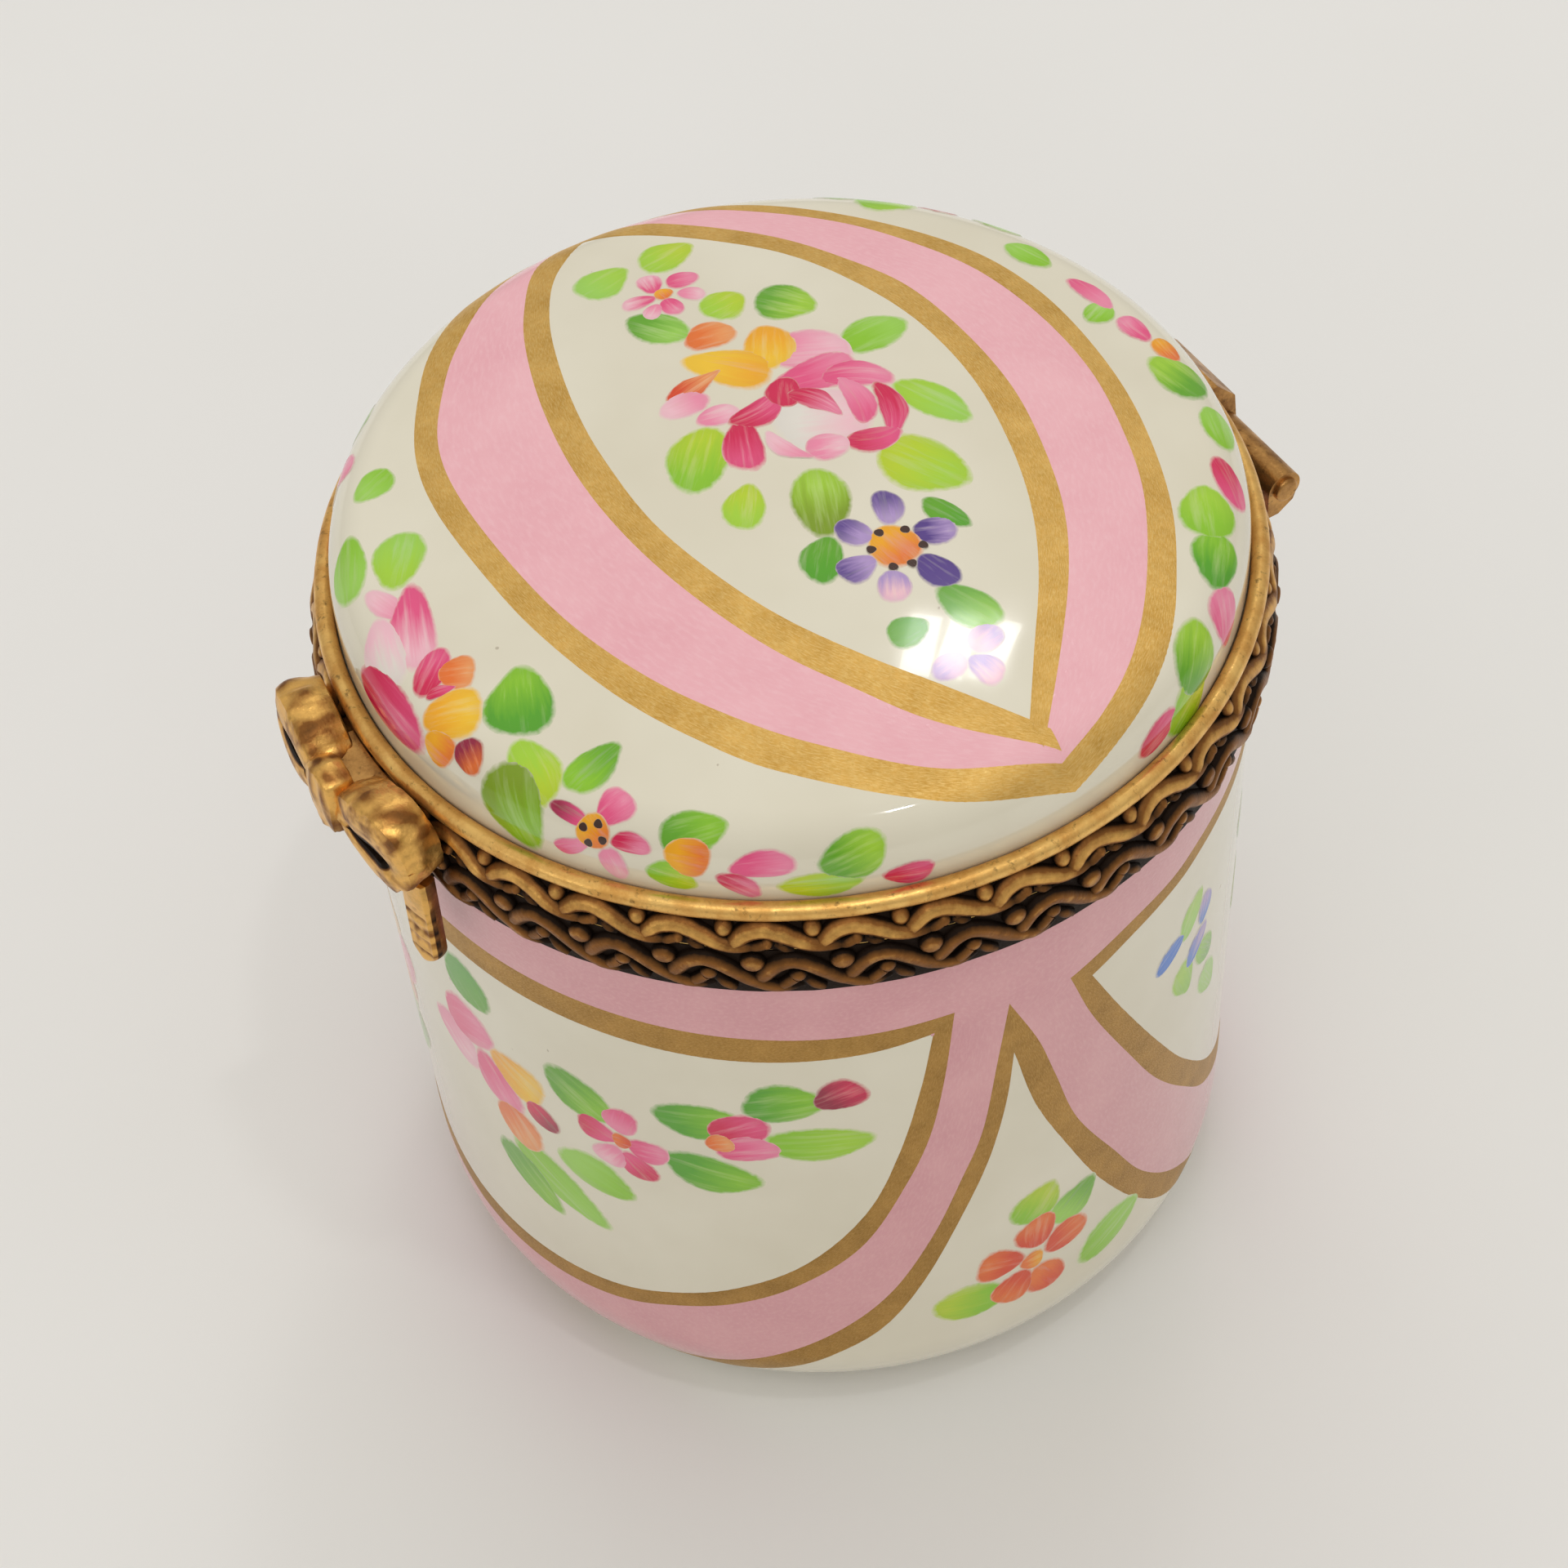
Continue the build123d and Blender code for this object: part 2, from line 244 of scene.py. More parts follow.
def glazedPorcelain():
    look = glazeLook
    n = newFinish("glazedPorcelain")
    body = n.blend(n.spread(n.noise(90), 0.35, 0.7), look["white"], look["shade"])
    specks = n.spread(n.noise(1400, 1), 0.80, 0.83)
    body = n.blend(n.times(specks, 0.5), body, look["speck"])
    rough = n.spread(n.noise(300, 2), 0.3, 0.7, look["roughness"], look["roughness"] + 0.05)
    n.bump(n.noise(160, 2), look["waviness"], 0.15)
    return n.finish({"Base Color": body, "Roughness": rough, "IOR": 1.52, "Coat Weight": 0.4, "Coat Roughness": 0.015})


# Both ribbons are the same pink enamel; the cup's tints are darker as painted shade.
ribbonLookWithPaintedShade = {
    "lid": {"pink": srgb(246, 187, 195), "deep": srgb(240, 175, 185), "pale": srgb(250, 204, 209)},
    "cup": {"pink": srgb(226, 167, 171), "deep": srgb(216, 153, 160), "pale": srgb(232, 182, 184)},
    "roughness": 0.12,
}


def pinkGroundWithPaintedShade(part):
    look = dict(ribbonLookWithPaintedShade, **ribbonLookWithPaintedShade[part])
    n = newFinish("pinkGroundWithPaintedShade" + part.title())
    body = n.blend(n.spread(n.noise(220, 4), 0.3, 0.72), look["pink"], look["deep"])
    sweep = n.spread(n.noise(6, 3, 0.6, n.brushed(), (5.0, 0.25, 1.0)), 0.45, 0.75)
    body = n.blend(n.times(sweep, 0.45), body, look["pale"])
    stipple = n.spread(n.noise(2600, 2), 0.55, 0.8)
    body = n.blend(n.times(stipple, 0.25), body, look["deep"])
    n.bump(stipple, 0.12, 0.03)
    return n.finish(
        {"Base Color": body, "Roughness": look["roughness"], "Coat Weight": 0.4, "Coat Roughness": 0.04}
    )


# Both are the same gilding: the lid's tints are lighter as a painted highlight from the light overhead, and the cup's
# are darker as painted shade.
gildLookWithPaintedLight = {
    "lid": {"gold": srgb(240, 192, 104), "deep": srgb(212, 162, 74), "bright": srgb(252, 224, 152)},
    "cup": {"gold": srgb(188, 144, 74), "deep": srgb(158, 118, 54), "bright": srgb(212, 172, 100)},
    "metal": 0.8,
    "roughness": 0.36,
}


def brushedGildingWithPaintedLight(part):
    look = dict(gildLookWithPaintedLight, **gildLookWithPaintedLight[part])
    n = newFinish("brushedGildingWithPaintedLight" + part.title())
    body = n.blend(n.spread(n.noise(500, 4, 0.65), 0.3, 0.7), look["gold"], look["deep"])
    hairs = n.spread(n.noise(10, 4, 0.65, n.brushed(), (3.0, 0.25, 1.0)), 0.42, 0.72)
    body = n.blend(n.times(hairs, 0.6), body, look["bright"])
    grain = n.noise(6500, 2)
    body = n.blend(n.spread(grain, 0.58, 0.75, 0.0, 0.5), body, look["deep"])
    rough = n.spread(hairs, 0.0, 1.0, look["roughness"] + 0.08, look["roughness"] - 0.06)
    n.bump(n.maths("ADD", grain, hairs), 0.35, 0.02)
    return n.finish({"Base Color": body, "Metallic": look["metal"], "Roughness": rough})


enamelLook = {"roughness": 0.12, "ground": srgb(230, 222, 202), "streak": 0.55, "pool": 0.2, "edge": 0.84}


def brushedEnamel():  # colours come with each stroke; streaks run along it and its rim fades out
    look = enamelLook
    n = newFinish("brushedEnamel")
    first, second = n.tag("firstTint"), n.tag("secondTint")
    luck, thin = first["Alpha"], second["Alpha"]
    split = n.put("ShaderNodeSeparateXYZ", {"Vector": n.brushed()})
    across, along = split["X"], split["Y"]
    hairWires = {"X": n.times(across, 7.0), "Y": n.times(along, 0.9), "Z": n.times(luck, 40.0)}
    hairs = n.noise(1.0, 4, 0.62, n.put("ShaderNodeCombineXYZ", hairWires)["Vector"])
    sweep = n.maths("ADD", along, n.swing(hairs, 0.9))
    body = n.blend(n.spread(sweep, 0.25, 0.8), first["Color"], second["Color"])
    wash = n.times(n.spread(hairs, 0.5, 0.8, 0.0, look["streak"]), thin)
    body = n.blend(wash, body, look["ground"])
    squares = []
    for side in (across, along):
        off = n.maths("ABSOLUTE", n.maths("SUBTRACT", side, 0.5))
        squares.append(n.maths("POWER", off, 2.0))
    reach = n.times(n.maths("SQRT", n.maths("ADD", *squares)), 2.0)
    rim = n.maths("ADD", reach, n.swing(n.noise(2200, 2), 0.16))
    pooled = n.times(n.spread(rim, 0.5, look["edge"]), look["pool"])
    body = n.blend(pooled, body, n.blend(0.25, first["Color"], (0.02, 0.02, 0.02, 1)))
    body = n.blend(n.spread(rim, look["edge"], 1.0), body, look["ground"])
    n.bump(hairs, 0.12, 0.02)
    return n.finish(
        {"Base Color": body, "Roughness": look["roughness"], "Coat Weight": 0.3, "Coat Roughness": 0.05}
    )


brassLook = {
    # rubbed high relief, made brighter still as a painted highlight
    "worn": srgb(236, 184, 100),
    "middle": srgb(150, 98, 46),
    "patina": srgb(34, 22, 14),
    "metal": 0.85,
    "roughness": 0.32,
}


def antiqueBrass(name, deepBelow, wearAndSheenAbove):  # height of the relief rides in the "relief" attribute
    look = brassLook
    n = newFinish(name)
    ragged = n.maths("ADD", n.tag("relief")["Fac"], n.swing(n.noise(1500, 4, 0.6), 0.35))
    body = n.blend(n.spread(ragged, deepBelow, wearAndSheenAbove), look["patina"], look["middle"])
    # High relief takes the worn colour: rubbed brass, and also a painted highlight.
    body = n.blend(n.spread(ragged, wearAndSheenAbove - 0.05, wearAndSheenAbove + 0.22), body, look["worn"])
    stain = n.spread(n.noise(600, 5, 0.7), 0.52, 0.75)
    body = n.blend(n.times(stain, 0.4), body, look["patina"])
    rough = n.spread(ragged, deepBelow, wearAndSheenAbove + 0.2, look["roughness"] + 0.3, look["roughness"])
    pits = n.noise(5200, 3, 0.6)
    n.bump(n.maths("ADD", pits, n.noise(1300, 2)), 0.5, 0.05)
    return n.finish({"Base Color": body, "Metallic": look["metal"], "Roughness": rough})


def plainBrass(name, worn, middle):
    n = newFinish(name)
    cloud = n.spread(n.noise(700, 5, 0.7), 0.35, 0.65)
    spots = n.spread(n.noise(2400, 4, 0.65), 0.58, 0.72)
    body = n.blend(n.times(spots, 0.6), n.blend(cloud, worn, middle), brassLook["patina"])
    n.bump(n.noise(4200, 3, 0.6), 0.4, 0.05)
    rough = n.spread(cloud, 0, 1, 0.28, 0.46)
    return n.finish({"Base Color": body, "Metallic": brassLook["metal"], "Roughness": rough})


def chalkyCement():
    n = newFinish("chalkyCement")
    body = n.blend(n.noise(2000, 4), srgb(196, 188, 172), srgb(170, 160, 142))
    n.bump(n.noise(3000), 0.6, 0.05)
    return n.finish({"Base Color": body, "Roughness": 0.9})


porcelainFinish = glazedPorcelain()
pinkFinishWithPaintedShade = {"lid": pinkGroundWithPaintedShade("lid"), "base": pinkGroundWithPaintedShade("cup")}
gildFinishWithPaintedLight = {"lid": brushedGildingWithPaintedLight("lid"), "base": brushedGildingWithPaintedLight("cup")}
enamelFinish = brushedEnamel()
upperReliefFinish = antiqueBrass("upperReliefBrass", 0.34, 0.78)
# The lower braid's mix is darker than the upper one's as painted shade, the lower ring lying in shade.
lowerReliefFinishPaintedShade = antiqueBrass("lowerReliefBrassPaintedShade", 0.4, 0.86)
bowFinish = antiqueBrass("bowBrass", 0.02, 0.54)
wireFinish = plainBrass("rubbedWireBrass", srgb(244, 198, 116), srgb(214, 160, 84))
hingeFinish = plainBrass("hingeBrass", srgb(204, 154, 88), srgb(148, 104, 56))
insideFinish = plainBrass("insideBrass", srgb(214, 178, 108), srgb(182, 142, 80))
metalFinishes = (upperReliefFinish, lowerReliefFinishPaintedShade, bowFinish, wireFinish, hingeFinish, insideFinish)
cementFinish = chalkyCement()
print("finishes mixed")


def bowedLine(centreX, centreZ, radius, fromDegrees, toDegrees, steps):
    out = []
    for i in range(steps + 1):
        angle = math.radians(fromDegrees + (toDegrees - fromDegrees) * i / steps)
        out.append((centreX + radius * math.cos(angle), centreZ + radius * math.sin(angle)))
    return out


def straightLine(start, end, steps):
    return [tuple(Vector(start).lerp(Vector(end), i / steps)) for i in range(1, steps + 1)]


def throwOnWheel(name, profile, steps=224):  # a half outline in mm, spun about the axis
    letGo()
    bpy.ops.mesh.primitive_plane_add(size=mm, location=(0, 0, 0))
    piece = bpy.context.object
    bpy.ops.object.mode_set(mode="EDIT")
    bpy.ops.mesh.select_mode(type="VERT")
    bpy.ops.mesh.select_all(action="SELECT")
    bpy.ops.mesh.merge(type="CENTER")
    bpy.ops.transform.translate(value=(profile[0][0] * mm, 0, profile[0][1] * mm))
    for (fromX, fromZ), (toX, toZ) in zip(profile, profile[1:]):
        step = ((toX - fromX) * mm, 0, (toZ - fromZ) * mm)
        bpy.ops.mesh.extrude_region_move(TRANSFORM_OT_translate={"value": step})
    bpy.ops.mesh.select_all(action="SELECT")
    bpy.ops.mesh.spin(steps=steps, angle=math.tau, center=(0, 0, 0), axis=(0, 0, 1))
    bpy.ops.mesh.select_all(action="SELECT")
    bpy.ops.mesh.remove_doubles(threshold=weldGap)
    bpy.ops.mesh.normals_make_consistent(inside=False)
    editDone()
    piece.name = name
    piece.data.name = name
    settle(piece)
    smoothBy(piece, 32)
    return piece


cupShape = {
    "topRadius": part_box("cup")[1].x / mm,
    "lowRadius": 22.9,
    "corner": 6.2,
    "rebateRadius": 23.45,
    "rebate": seam - 3.3,
    "rim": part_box("cup")[1].z / mm,
    "insideTop": 21.2,
    "insideLow": 20.5,
    "floor": 3.2,
    "floorCorner": 4.0,
}


def throwCup():
    s = cupShape
    footRadius = s["lowRadius"] - s["corner"]
    floorRadius = s["insideLow"] - s["floorCorner"]
    outline = [(0, 0)] + straightLine((0, 0), (footRadius, 0), 6)
    outline += bowedLine(footRadius, s["corner"], s["corner"], -90, 0, 22)[1:]
    outline += straightLine((s["lowRadius"], s["corner"]), (s["topRadius"], s["rebate"]), 18)
    outline += [(s["rebateRadius"], s["rebate"]), (s["rebateRadius"], s["rim"]), (s["insideTop"], s["rim"])]
    outline += straightLine((s["insideTop"], s["rim"]), (s["insideLow"], s["floor"] + s["floorCorner"]), 12)
    outline += bowedLine(floorRadius, s["floor"] + s["floorCorner"], s["floorCorner"], 0, -90, 12)[1:]
    outline += straightLine((floorRadius, s["floor"]), (0, s["floor"]), 6)
    return throwOnWheel("porcelainCup", outline)


lidShape = {
    "wallRadius": 23.3,
    "shoulder": 2.6,
    "shoulderHeight": 3.92,  # above the seam; the paint makes up the rest
    "edgeSlope": 10.0,
    "wireHeight": 2.15,
    "buriedRadius": 23.1,
    "buriedTop": 1.65,
    "buriedFoot": 0.55,
    "insideRadius": 21.7,
}


def crownOf(wallRadius, shoulder):  # where the crown meets the shoulder, its radius and its top
    slope = math.radians(lidShape["edgeSlope"])
    meetX = wallRadius - shoulder + shoulder * math.sin(slope)
    meetZ = lidShape["shoulderHeight"] + shoulder * math.cos(slope)
    radius = meetX / math.sin(slope)
    return radius, meetZ + meetX * math.tan(slope / 2)


def throwLid():
    s = lidShape
    slope = s["edgeSlope"]
    outline = []
    radius, top = crownOf(s["wallRadius"], s["shoulder"])
    outline += bowedLine(0, seam + top - radius, radius, 90, 90 - slope, 24)
    bend = (s["wallRadius"] - s["shoulder"], seam + s["shoulderHeight"])
    outline += bowedLine(*bend, s["shoulder"], 90 - slope, 0, 20)[1:]
    outline += straightLine(outline[-1], (s["wallRadius"], seam + s["wireHeight"]), 4)
    outline += [(s["buriedRadius"], seam + s["buriedTop"]), (s["buriedRadius"], seam + s["buriedFoot"])]
    outline += [(s["insideRadius"], seam + s["buriedFoot"])]
    outline += straightLine(outline[-1], (s["insideRadius"], seam + s["shoulderHeight"]), 4)
    small = s["insideRadius"] - bend[0]
    outline += bowedLine(*bend, small, 0, 90 - slope, 10)[1:]
    radius, top = crownOf(s["insideRadius"], small)
    outline += bowedLine(0, seam + top - radius, radius, 90 - slope, 90, 20)[1:]
    outline[0] = (0, outline[0][1])
    outline[-1] = (0, outline[-1][1])
    return throwOnWheel("porcelainLid", outline)


finishPiece(throwCup(), "base", porcelainFinish, ["cup"])
finishPiece(throwLid(), "lid", porcelainFinish, ["lid_shell"])
print("porcelain thrown")


crownRadius, crownTop = crownOf(lidShape["wallRadius"], lidShape["shoulder"])
slopeAngle = math.radians(lidShape["edgeSlope"])
crownReach = crownRadius * slopeAngle
shoulderReach = crownReach + lidShape["shoulder"] * (math.pi / 2 - slopeAngle)


def onLid(x, y, lift):  # x and y laid out flat; their distance from the middle runs over the dome
    reach = math.hypot(x, y)
    way = math.atan2(y, x)
    if reach < crownReach:
        lean = reach / crownRadius
        out, up = crownRadius * math.sin(lean), crownTop - crownRadius * (1 - math.cos(lean))
    elif reach < shoulderReach:
        lean = slopeAngle + (reach - crownReach) / lidShape["shoulder"]
        out = lidShape["wallRadius"] - lidShape["shoulder"] * (1 - math.sin(lean))
        up = lidShape["shoulderHeight"] + lidShape["shoulder"] * math.cos(lean)
    else:
        lean = math.pi / 2
        out, up = lidShape["wallRadius"], lidShape["shoulderHeight"] - (reach - shoulderReach)
    out += lift * math.sin(lean)
    up += lift * math.cos(lean)
    return Vector((out * math.cos(way), out * math.sin(way), seam + up)) * mm


cupWallTop = seam - cupShape["rebate"]
cupWallFoot = seam - cupShape["corner"]


def onCup(degrees, drop, lift):  # degrees round from +X, drop down from the seam and on round the corner
    way = math.radians(degrees)
    s = cupShape
    down = -drop
    if down < cupWallFoot:
        part = (down - cupWallTop) / (cupWallFoot - cupWallTop)
        out = s["topRadius"] + (s["lowRadius"] - s["topRadius"]) * part + lift
        up = seam - down
    else:
        lean = (down - cupWallFoot) / s["corner"]
        out = s["lowRadius"] - s["corner"] + (s["corner"] + lift) * math.cos(lean)
        up = s["corner"] - (s["corner"] + lift) * math.sin(lean)
    return Vector((out * math.cos(way), out * math.sin(way), up)) * mm


# How far each kind of paint stands off the porcelain, in mm; the edges are tucked under the glaze
paintLift = {"pink": 0.016, "gold": 0.028, "stroke": 0.034, "bandEdge": -0.015, "strokeEdge": -0.012}


def layBand(name, surface, leftEdge, rightEdge, lift, columns, step):  # a strip of paint between two edges
    length = curveThrough(leftEdge, 10)[1]
    rows = max(8, int(length / step))
    left = curveThrough(leftEdge, rows)[0]
    right = curveThrough(rightEdge, rows)[0]
    letGo()
    bpy.ops.mesh.primitive_grid_add(x_subdivisions=columns, y_subdivisions=rows, size=1, location=(0, 0, 0))
    band = bpy.context.object
    band.name = name
    uv = band.data.uv_layers["UVMap"].data
    for loop in band.data.loops:
        spot = band.data.vertices[loop.vertex_index].co
        uv[loop.index].uv = (spot.x + 0.5, (spot.y + 0.5) * length)
    for vertex in band.data.vertices:
        across = vertex.co.x + 0.5
        i = min(rows, int(round((vertex.co.y + 0.5) * rows)))
        atEdge = across < 0.001 or across > 0.999
        x, y = left[i].lerp(right[i], across)
        vertex.co = surface(x, y, paintLift["bandEdge"] if atEdge else lift)
    outwards = surface(*left[0], 1) - surface(*left[0], 0)
    band.data.update()
    if band.data.polygons[columns // 2].normal.dot(outwards) < 0:
        editAll(band)
        bpy.ops.mesh.flip_normals()
        editDone()
    return band


def lidLean(spot):  # which way the glaze faces there
    out = math.hypot(spot.x, spot.y)
    bendOut, bendUp = lidShape["wallRadius"] - lidShape["shoulder"], seam + lidShape["shoulderHeight"]
    if out < crownRadius * math.sin(slopeAngle):
        return Vector((spot.x, spot.y, spot.z - (seam + crownTop - crownRadius))).normalized()
    away = Vector((out - bendOut, max(0.0, spot.z - bendUp))).normalized()
    return Vector((spot.x / out * away.x, spot.y / out * away.x, away.y))


def cupLean(spot):
    out = math.hypot(spot.x, spot.y)
    bendOut = cupShape["lowRadius"] - cupShape["corner"]
    away = Vector((out - bendOut, min(0.0, spot.z - cupShape["corner"]))).normalized()
    return Vector((spot.x / out * away.x, spot.y / out * away.x, away.y))


def shadeLikeGlaze(piece, leanAt):  # paint is too thin to cast its own shape
    mesh = piece.data
    mesh.polygons.foreach_set("use_smooth", [True] * len(mesh.polygons))
    mesh.normals_split_custom_set_from_vertices([leanAt(vertex.co / mm) for vertex in mesh.vertices])


def midway(first, second):  # a line half way between two edges
    a, b = curveThrough(first, 16)[0], curveThrough(second, 16)[0]
    return [tuple(p.lerp(q, 0.5)) for p, q in zip(a, b)]


def layStripes(name, surface, pairs, lift, columns, step):
    return joinUp([layBand(name, surface, a, b, lift, columns, step) for a, b in pairs], name)


# Edges of the ribbons and gold lines on the lid, laid out flat: (x, y) in mm from the middle.
# The clasp is at -y, the hinge at +y
lidLines = {
    "lensClasp": [
        (20.9, 1.7), (16.3, -1.2), (12.8, -3.4), (8.8, -5.4), (4.5, -6.7), (-0.3, -7.4), (-5.5, -7.1),
        (-9.5, -6.4), (-13.6, -5.2), (-17, -3.8), (-20, -1.8), (-22.2, 1.1),
    ],
    "lensClaspOut": [
        (22.4, 1.5), (18.2, -2.8), (14.2, -5.2), (10, -7.2), (4.8, -8.6), (-0.4, -9.2), (-5.6, -9),
        (-10.9, -7.9), (-15.5, -6.3), (-18.6, -4.7), (-21.6, -2.4), (-23.6, 1.0),
    ],
    "ribbonClasp": [
        (22.6, 1.2), (20, -4), (15.8, -8), (12.3, -10.4), (8, -12.5), (2.8, -13.9), (-2.9, -14.3), (-8.5, -14),
        (-12.3, -13), (-15.5, -11), (-18.3, -8.6), (-21.5, -4.6), (-24, 1),
    ],
    "ribbonClaspOut": [
        (24.6, 1.6), (21.7, -5), (16.5, -10.3), (12.4, -12.8), (7.8, -14.6), (2, -15.7), (-3.5, -15.9),
        (-8.4, -15.6), (-12.2, -14.6), (-15.8, -12.6), (-19.4, -9.8), (-23, -5.2), (-25.2, 1),
    ],
    "lensHinge": [
        (20.2, 1.0), (17, 3.4), (13, 6.4), (9.3, 8.5), (5, 10.1), (0, 11.2), (-5.3, 11.3), (-10.1, 10.3),
        (-13.9, 8.8), (-17.2, 6.5), (-20.2, 3.8), (-22.2, 1.1),
    ],
    "lensHingeOut": [
        (21.9, 0.8), (17.8, 4.6), (13.8, 7.9), (10.2, 10.1), (6, 11.7), (1.6, 12.8), (-3.4, 13.1),
        (-8.2, 12.7), (-12.1, 11.2), (-15.6, 9.4), (-19, 6.8), (-21.8, 4), (-23.6, 1.0),
    ],
    "ribbonHinge": [
        (22.6, 1.2), (21.2, 4.6), (19, 7.8), (15.5, 11), (11, 14), (6.7, 15.7), (2.3, 16.8), (-2.4, 17),
        (-7.1, 16.4), (-11, 14.9), (-15, 12.6), (-19.4, 8.6), (-22.4, 4.6), (-24, 1),
    ],
    "ribbonHingeOut": [
        (24.6, 1.6), (22, 6.7), (19.5, 9.9), (16.3, 12.5), (12.7, 14.8), (8.4, 16.6), (4, 17.8), (-1, 18.4),
        (-5, 18.3), (-9, 17.3), (-13.2, 15), (-17.6, 11.6), (-21.4, 7.4), (-24, 4.2), (-25.2, 1),
    ],
}


def paintLidBands():
    line = lidLines
    middle = {name: midway(line[name], line[name + "Out"]) for name in line if not name.endswith("Out")}
    pinkPairs = [(middle["lensClasp"], middle["ribbonClasp"]), (middle["ribbonHinge"], middle["lensHinge"])]
    goldPairs = [(line[name], line[name + "Out"]) for name in ("lensClasp", "ribbonClasp")]
    goldPairs += [(line[name + "Out"], line[name]) for name in ("lensHinge", "ribbonHinge")]
    pink = layStripes("pinkLidRibbons", onLid, pinkPairs, paintLift["pink"], 26, 0.4)
    gold = layStripes("gildedLidLines", onLid, goldPairs, paintLift["gold"], 8, 0.4)
    return pink, gold


# Edges on the cup: (degrees round from +X, height from the seam). The clasp is at -90, the hinge at 90
cupLines = {
    "frontTop": [(-90, -7.9), (-79, -7.7), (-60, -7.7), (-40, -7.9), (-25, -8), (-13.2, -7.8)],
    "frontTopIn": [(-90, -10.2), (-79, -10.1), (-60, -10.1), (-40, -10.2), (-25, -9.9), (-16.3, -9.3)],
    "frontSide": [
        (-13.2, -7.8), (-14.6, -13.3), (-16.6, -18), (-20, -22), (-26, -27.2), (-35, -30.9), (-44, -33.3),
        (-53, -34.9), (-62, -36.3), (-75, -37.2), (-90, -37.5),
    ],
    "frontSideIn": [
        (-16.3, -9.3), (-18, -13.5), (-21, -18.8), (-25.6, -24), (-34, -28.6), (-44, -31.6), (-53, -33.4),
        (-62, -34.7), (-75, -35.5), (-90, -35.8),
    ],
    "leftFall": [
        (-6.4, -8.4), (-8, -12.8), (-10, -18.6), (-13, -22.5), (-17, -27.1), (-23, -31.9), (-31, -35.5),
        (-41, -38.3), (-54, -40.6), (-70, -42), (-90, -42.6),
    ],
    "leftFallIn": [
        (-5.6, -13.4), (-6.6, -17.4), (-9, -21.9), (-13, -26.5), (-18.4, -31.8), (-24, -35.6), (-31, -38),
        (-41, -40.4), (-54, -42.4), (-70, -43.8), (-90, -44.4),
    ],
    "rightFall": [
        (-6.4, -8.4), (-2.2, -12.5), (0.4, -16.3), (4, -21.6), (11, -27.4), (18, -32.7), (28, -37.2),
        (42, -40.6), (60, -42.6), (90, -43.6),
    ],
    "rightFallIn": [
        (-5.6, -13.4), (-2.4, -19), (3, -24.6), (9, -30), (17, -35.3), (26, -39), (42, -42.4), (60, -44.4),
        (90, -45.4),
    ],
    "backTop": [(2, -9.2), (9, -8.3), (14, -7.9), (21, -7.7), (28, -7.2), (45, -6.8), (65, -6.8), (90, -6.9)],
    "backTopIn": [
        (6, -10.3), (12, -9.5), (18, -9.1), (23, -8.9), (30, -8.5), (45, -8.3), (65, -8.4), (90, -8.5),
    ],
    "backSide": [
        (2, -9.2), (6, -14), (13, -20.1), (19, -24.8), (27, -29.4), (37, -34), (52, -37.6), (70, -39.4),
        (90, -39.8),
    ],
    "backSideIn": [
        (6, -10.3), (12, -15.5), (20, -21.7), (28, -27), (39, -32.2), (53, -35.6), (70, -37.4), (90, -37.8),
    ],
}


underRim = -3.2  # the paint runs up under the brass


def mirrored(line):
    return [(-180 - degrees, drop) for degrees, drop in line]


def onBothSides(pairs):
    return pairs + [(mirrored(second), mirrored(first)) for first, second in pairs]


def paintCupBands():
    line = cupLines
    middle = {name: midway(line[name], line[name + "In"]) for name in line if not name.endswith("In")}

    def rimLine(*degrees):
        return [(angle, underRim) for angle in degrees]

    knot = [(-16.5, -9.5), (-10, -11.5), (-6, -12), (0, -11.5), (5, -10.2)]
    pinkPairs = [
        (middle["frontTop"], rimLine(-90, -60, -30, -13.6)),
        (knot, rimLine(-16.5, -6, 5)),
        (middle["backTop"], rimLine(2, 30, 60, 90)),
        (middle["leftFall"], middle["frontSide"]),
        (middle["backSide"], middle["rightFall"]),
    ]
    goldPairs = [
        (line["frontTopIn"], line["frontTop"]),
        (line["frontSide"], line["frontSideIn"]),
        (line["leftFallIn"], line["leftFall"]),
        (line["rightFall"], line["rightFallIn"]),
        (line["backTopIn"], line["backTop"]),
        (line["backSideIn"], line["backSide"]),
    ]
    pink = layStripes("pinkCupRibbons", onCup, onBothSides(pinkPairs), paintLift["pink"], 20, 0.9)
    gold = layStripes("gildedCupLines", onCup, onBothSides(goldPairs), paintLift["gold"], 8, 0.9)
    return pink, gold


for bands, body, lean in ((paintLidBands(), "lid", lidLean), (paintCupBands(), "base", cupLean)):
    for band, finish in zip(bands, (pinkFinishWithPaintedShade[body], gildFinishWithPaintedLight[body])):
        shadeLikeGlaze(band, lean)
        finishPiece(band, body, finish)
print("ribbons and gilding laid")


tints = {
    "leaf": srgb(142, 202, 30),
    "fresh": srgb(168, 214, 52),
    "lime": srgb(190, 214, 30),
    "olive": srgb(128, 160, 6),
    "dark": srgb(84, 166, 22),
    "mint": srgb(160, 214, 84),
    "moss": srgb(100, 170, 26),
    "magenta": srgb(214, 14, 78),
    "rose": srgb(234, 82, 134),
    "pink": srgb(242, 140, 172),
    "blush": srgb(246, 194, 206),
    "wine": srgb(150, 14, 56),
    "yellow": srgb(246, 172, 8),
    "lemon": srgb(248, 200, 40),
    "orange": srgb(236, 116, 36),
    "peach": srgb(242, 162, 96),
    "rust": srgb(222, 66, 16),
    "violet": srgb(84, 56, 138),
    "lilac": srgb(180, 152, 206),
    "brown": srgb(60, 30, 16),
    "blue": srgb(50, 118, 212),
    "white": srgb(232, 226, 216),
}


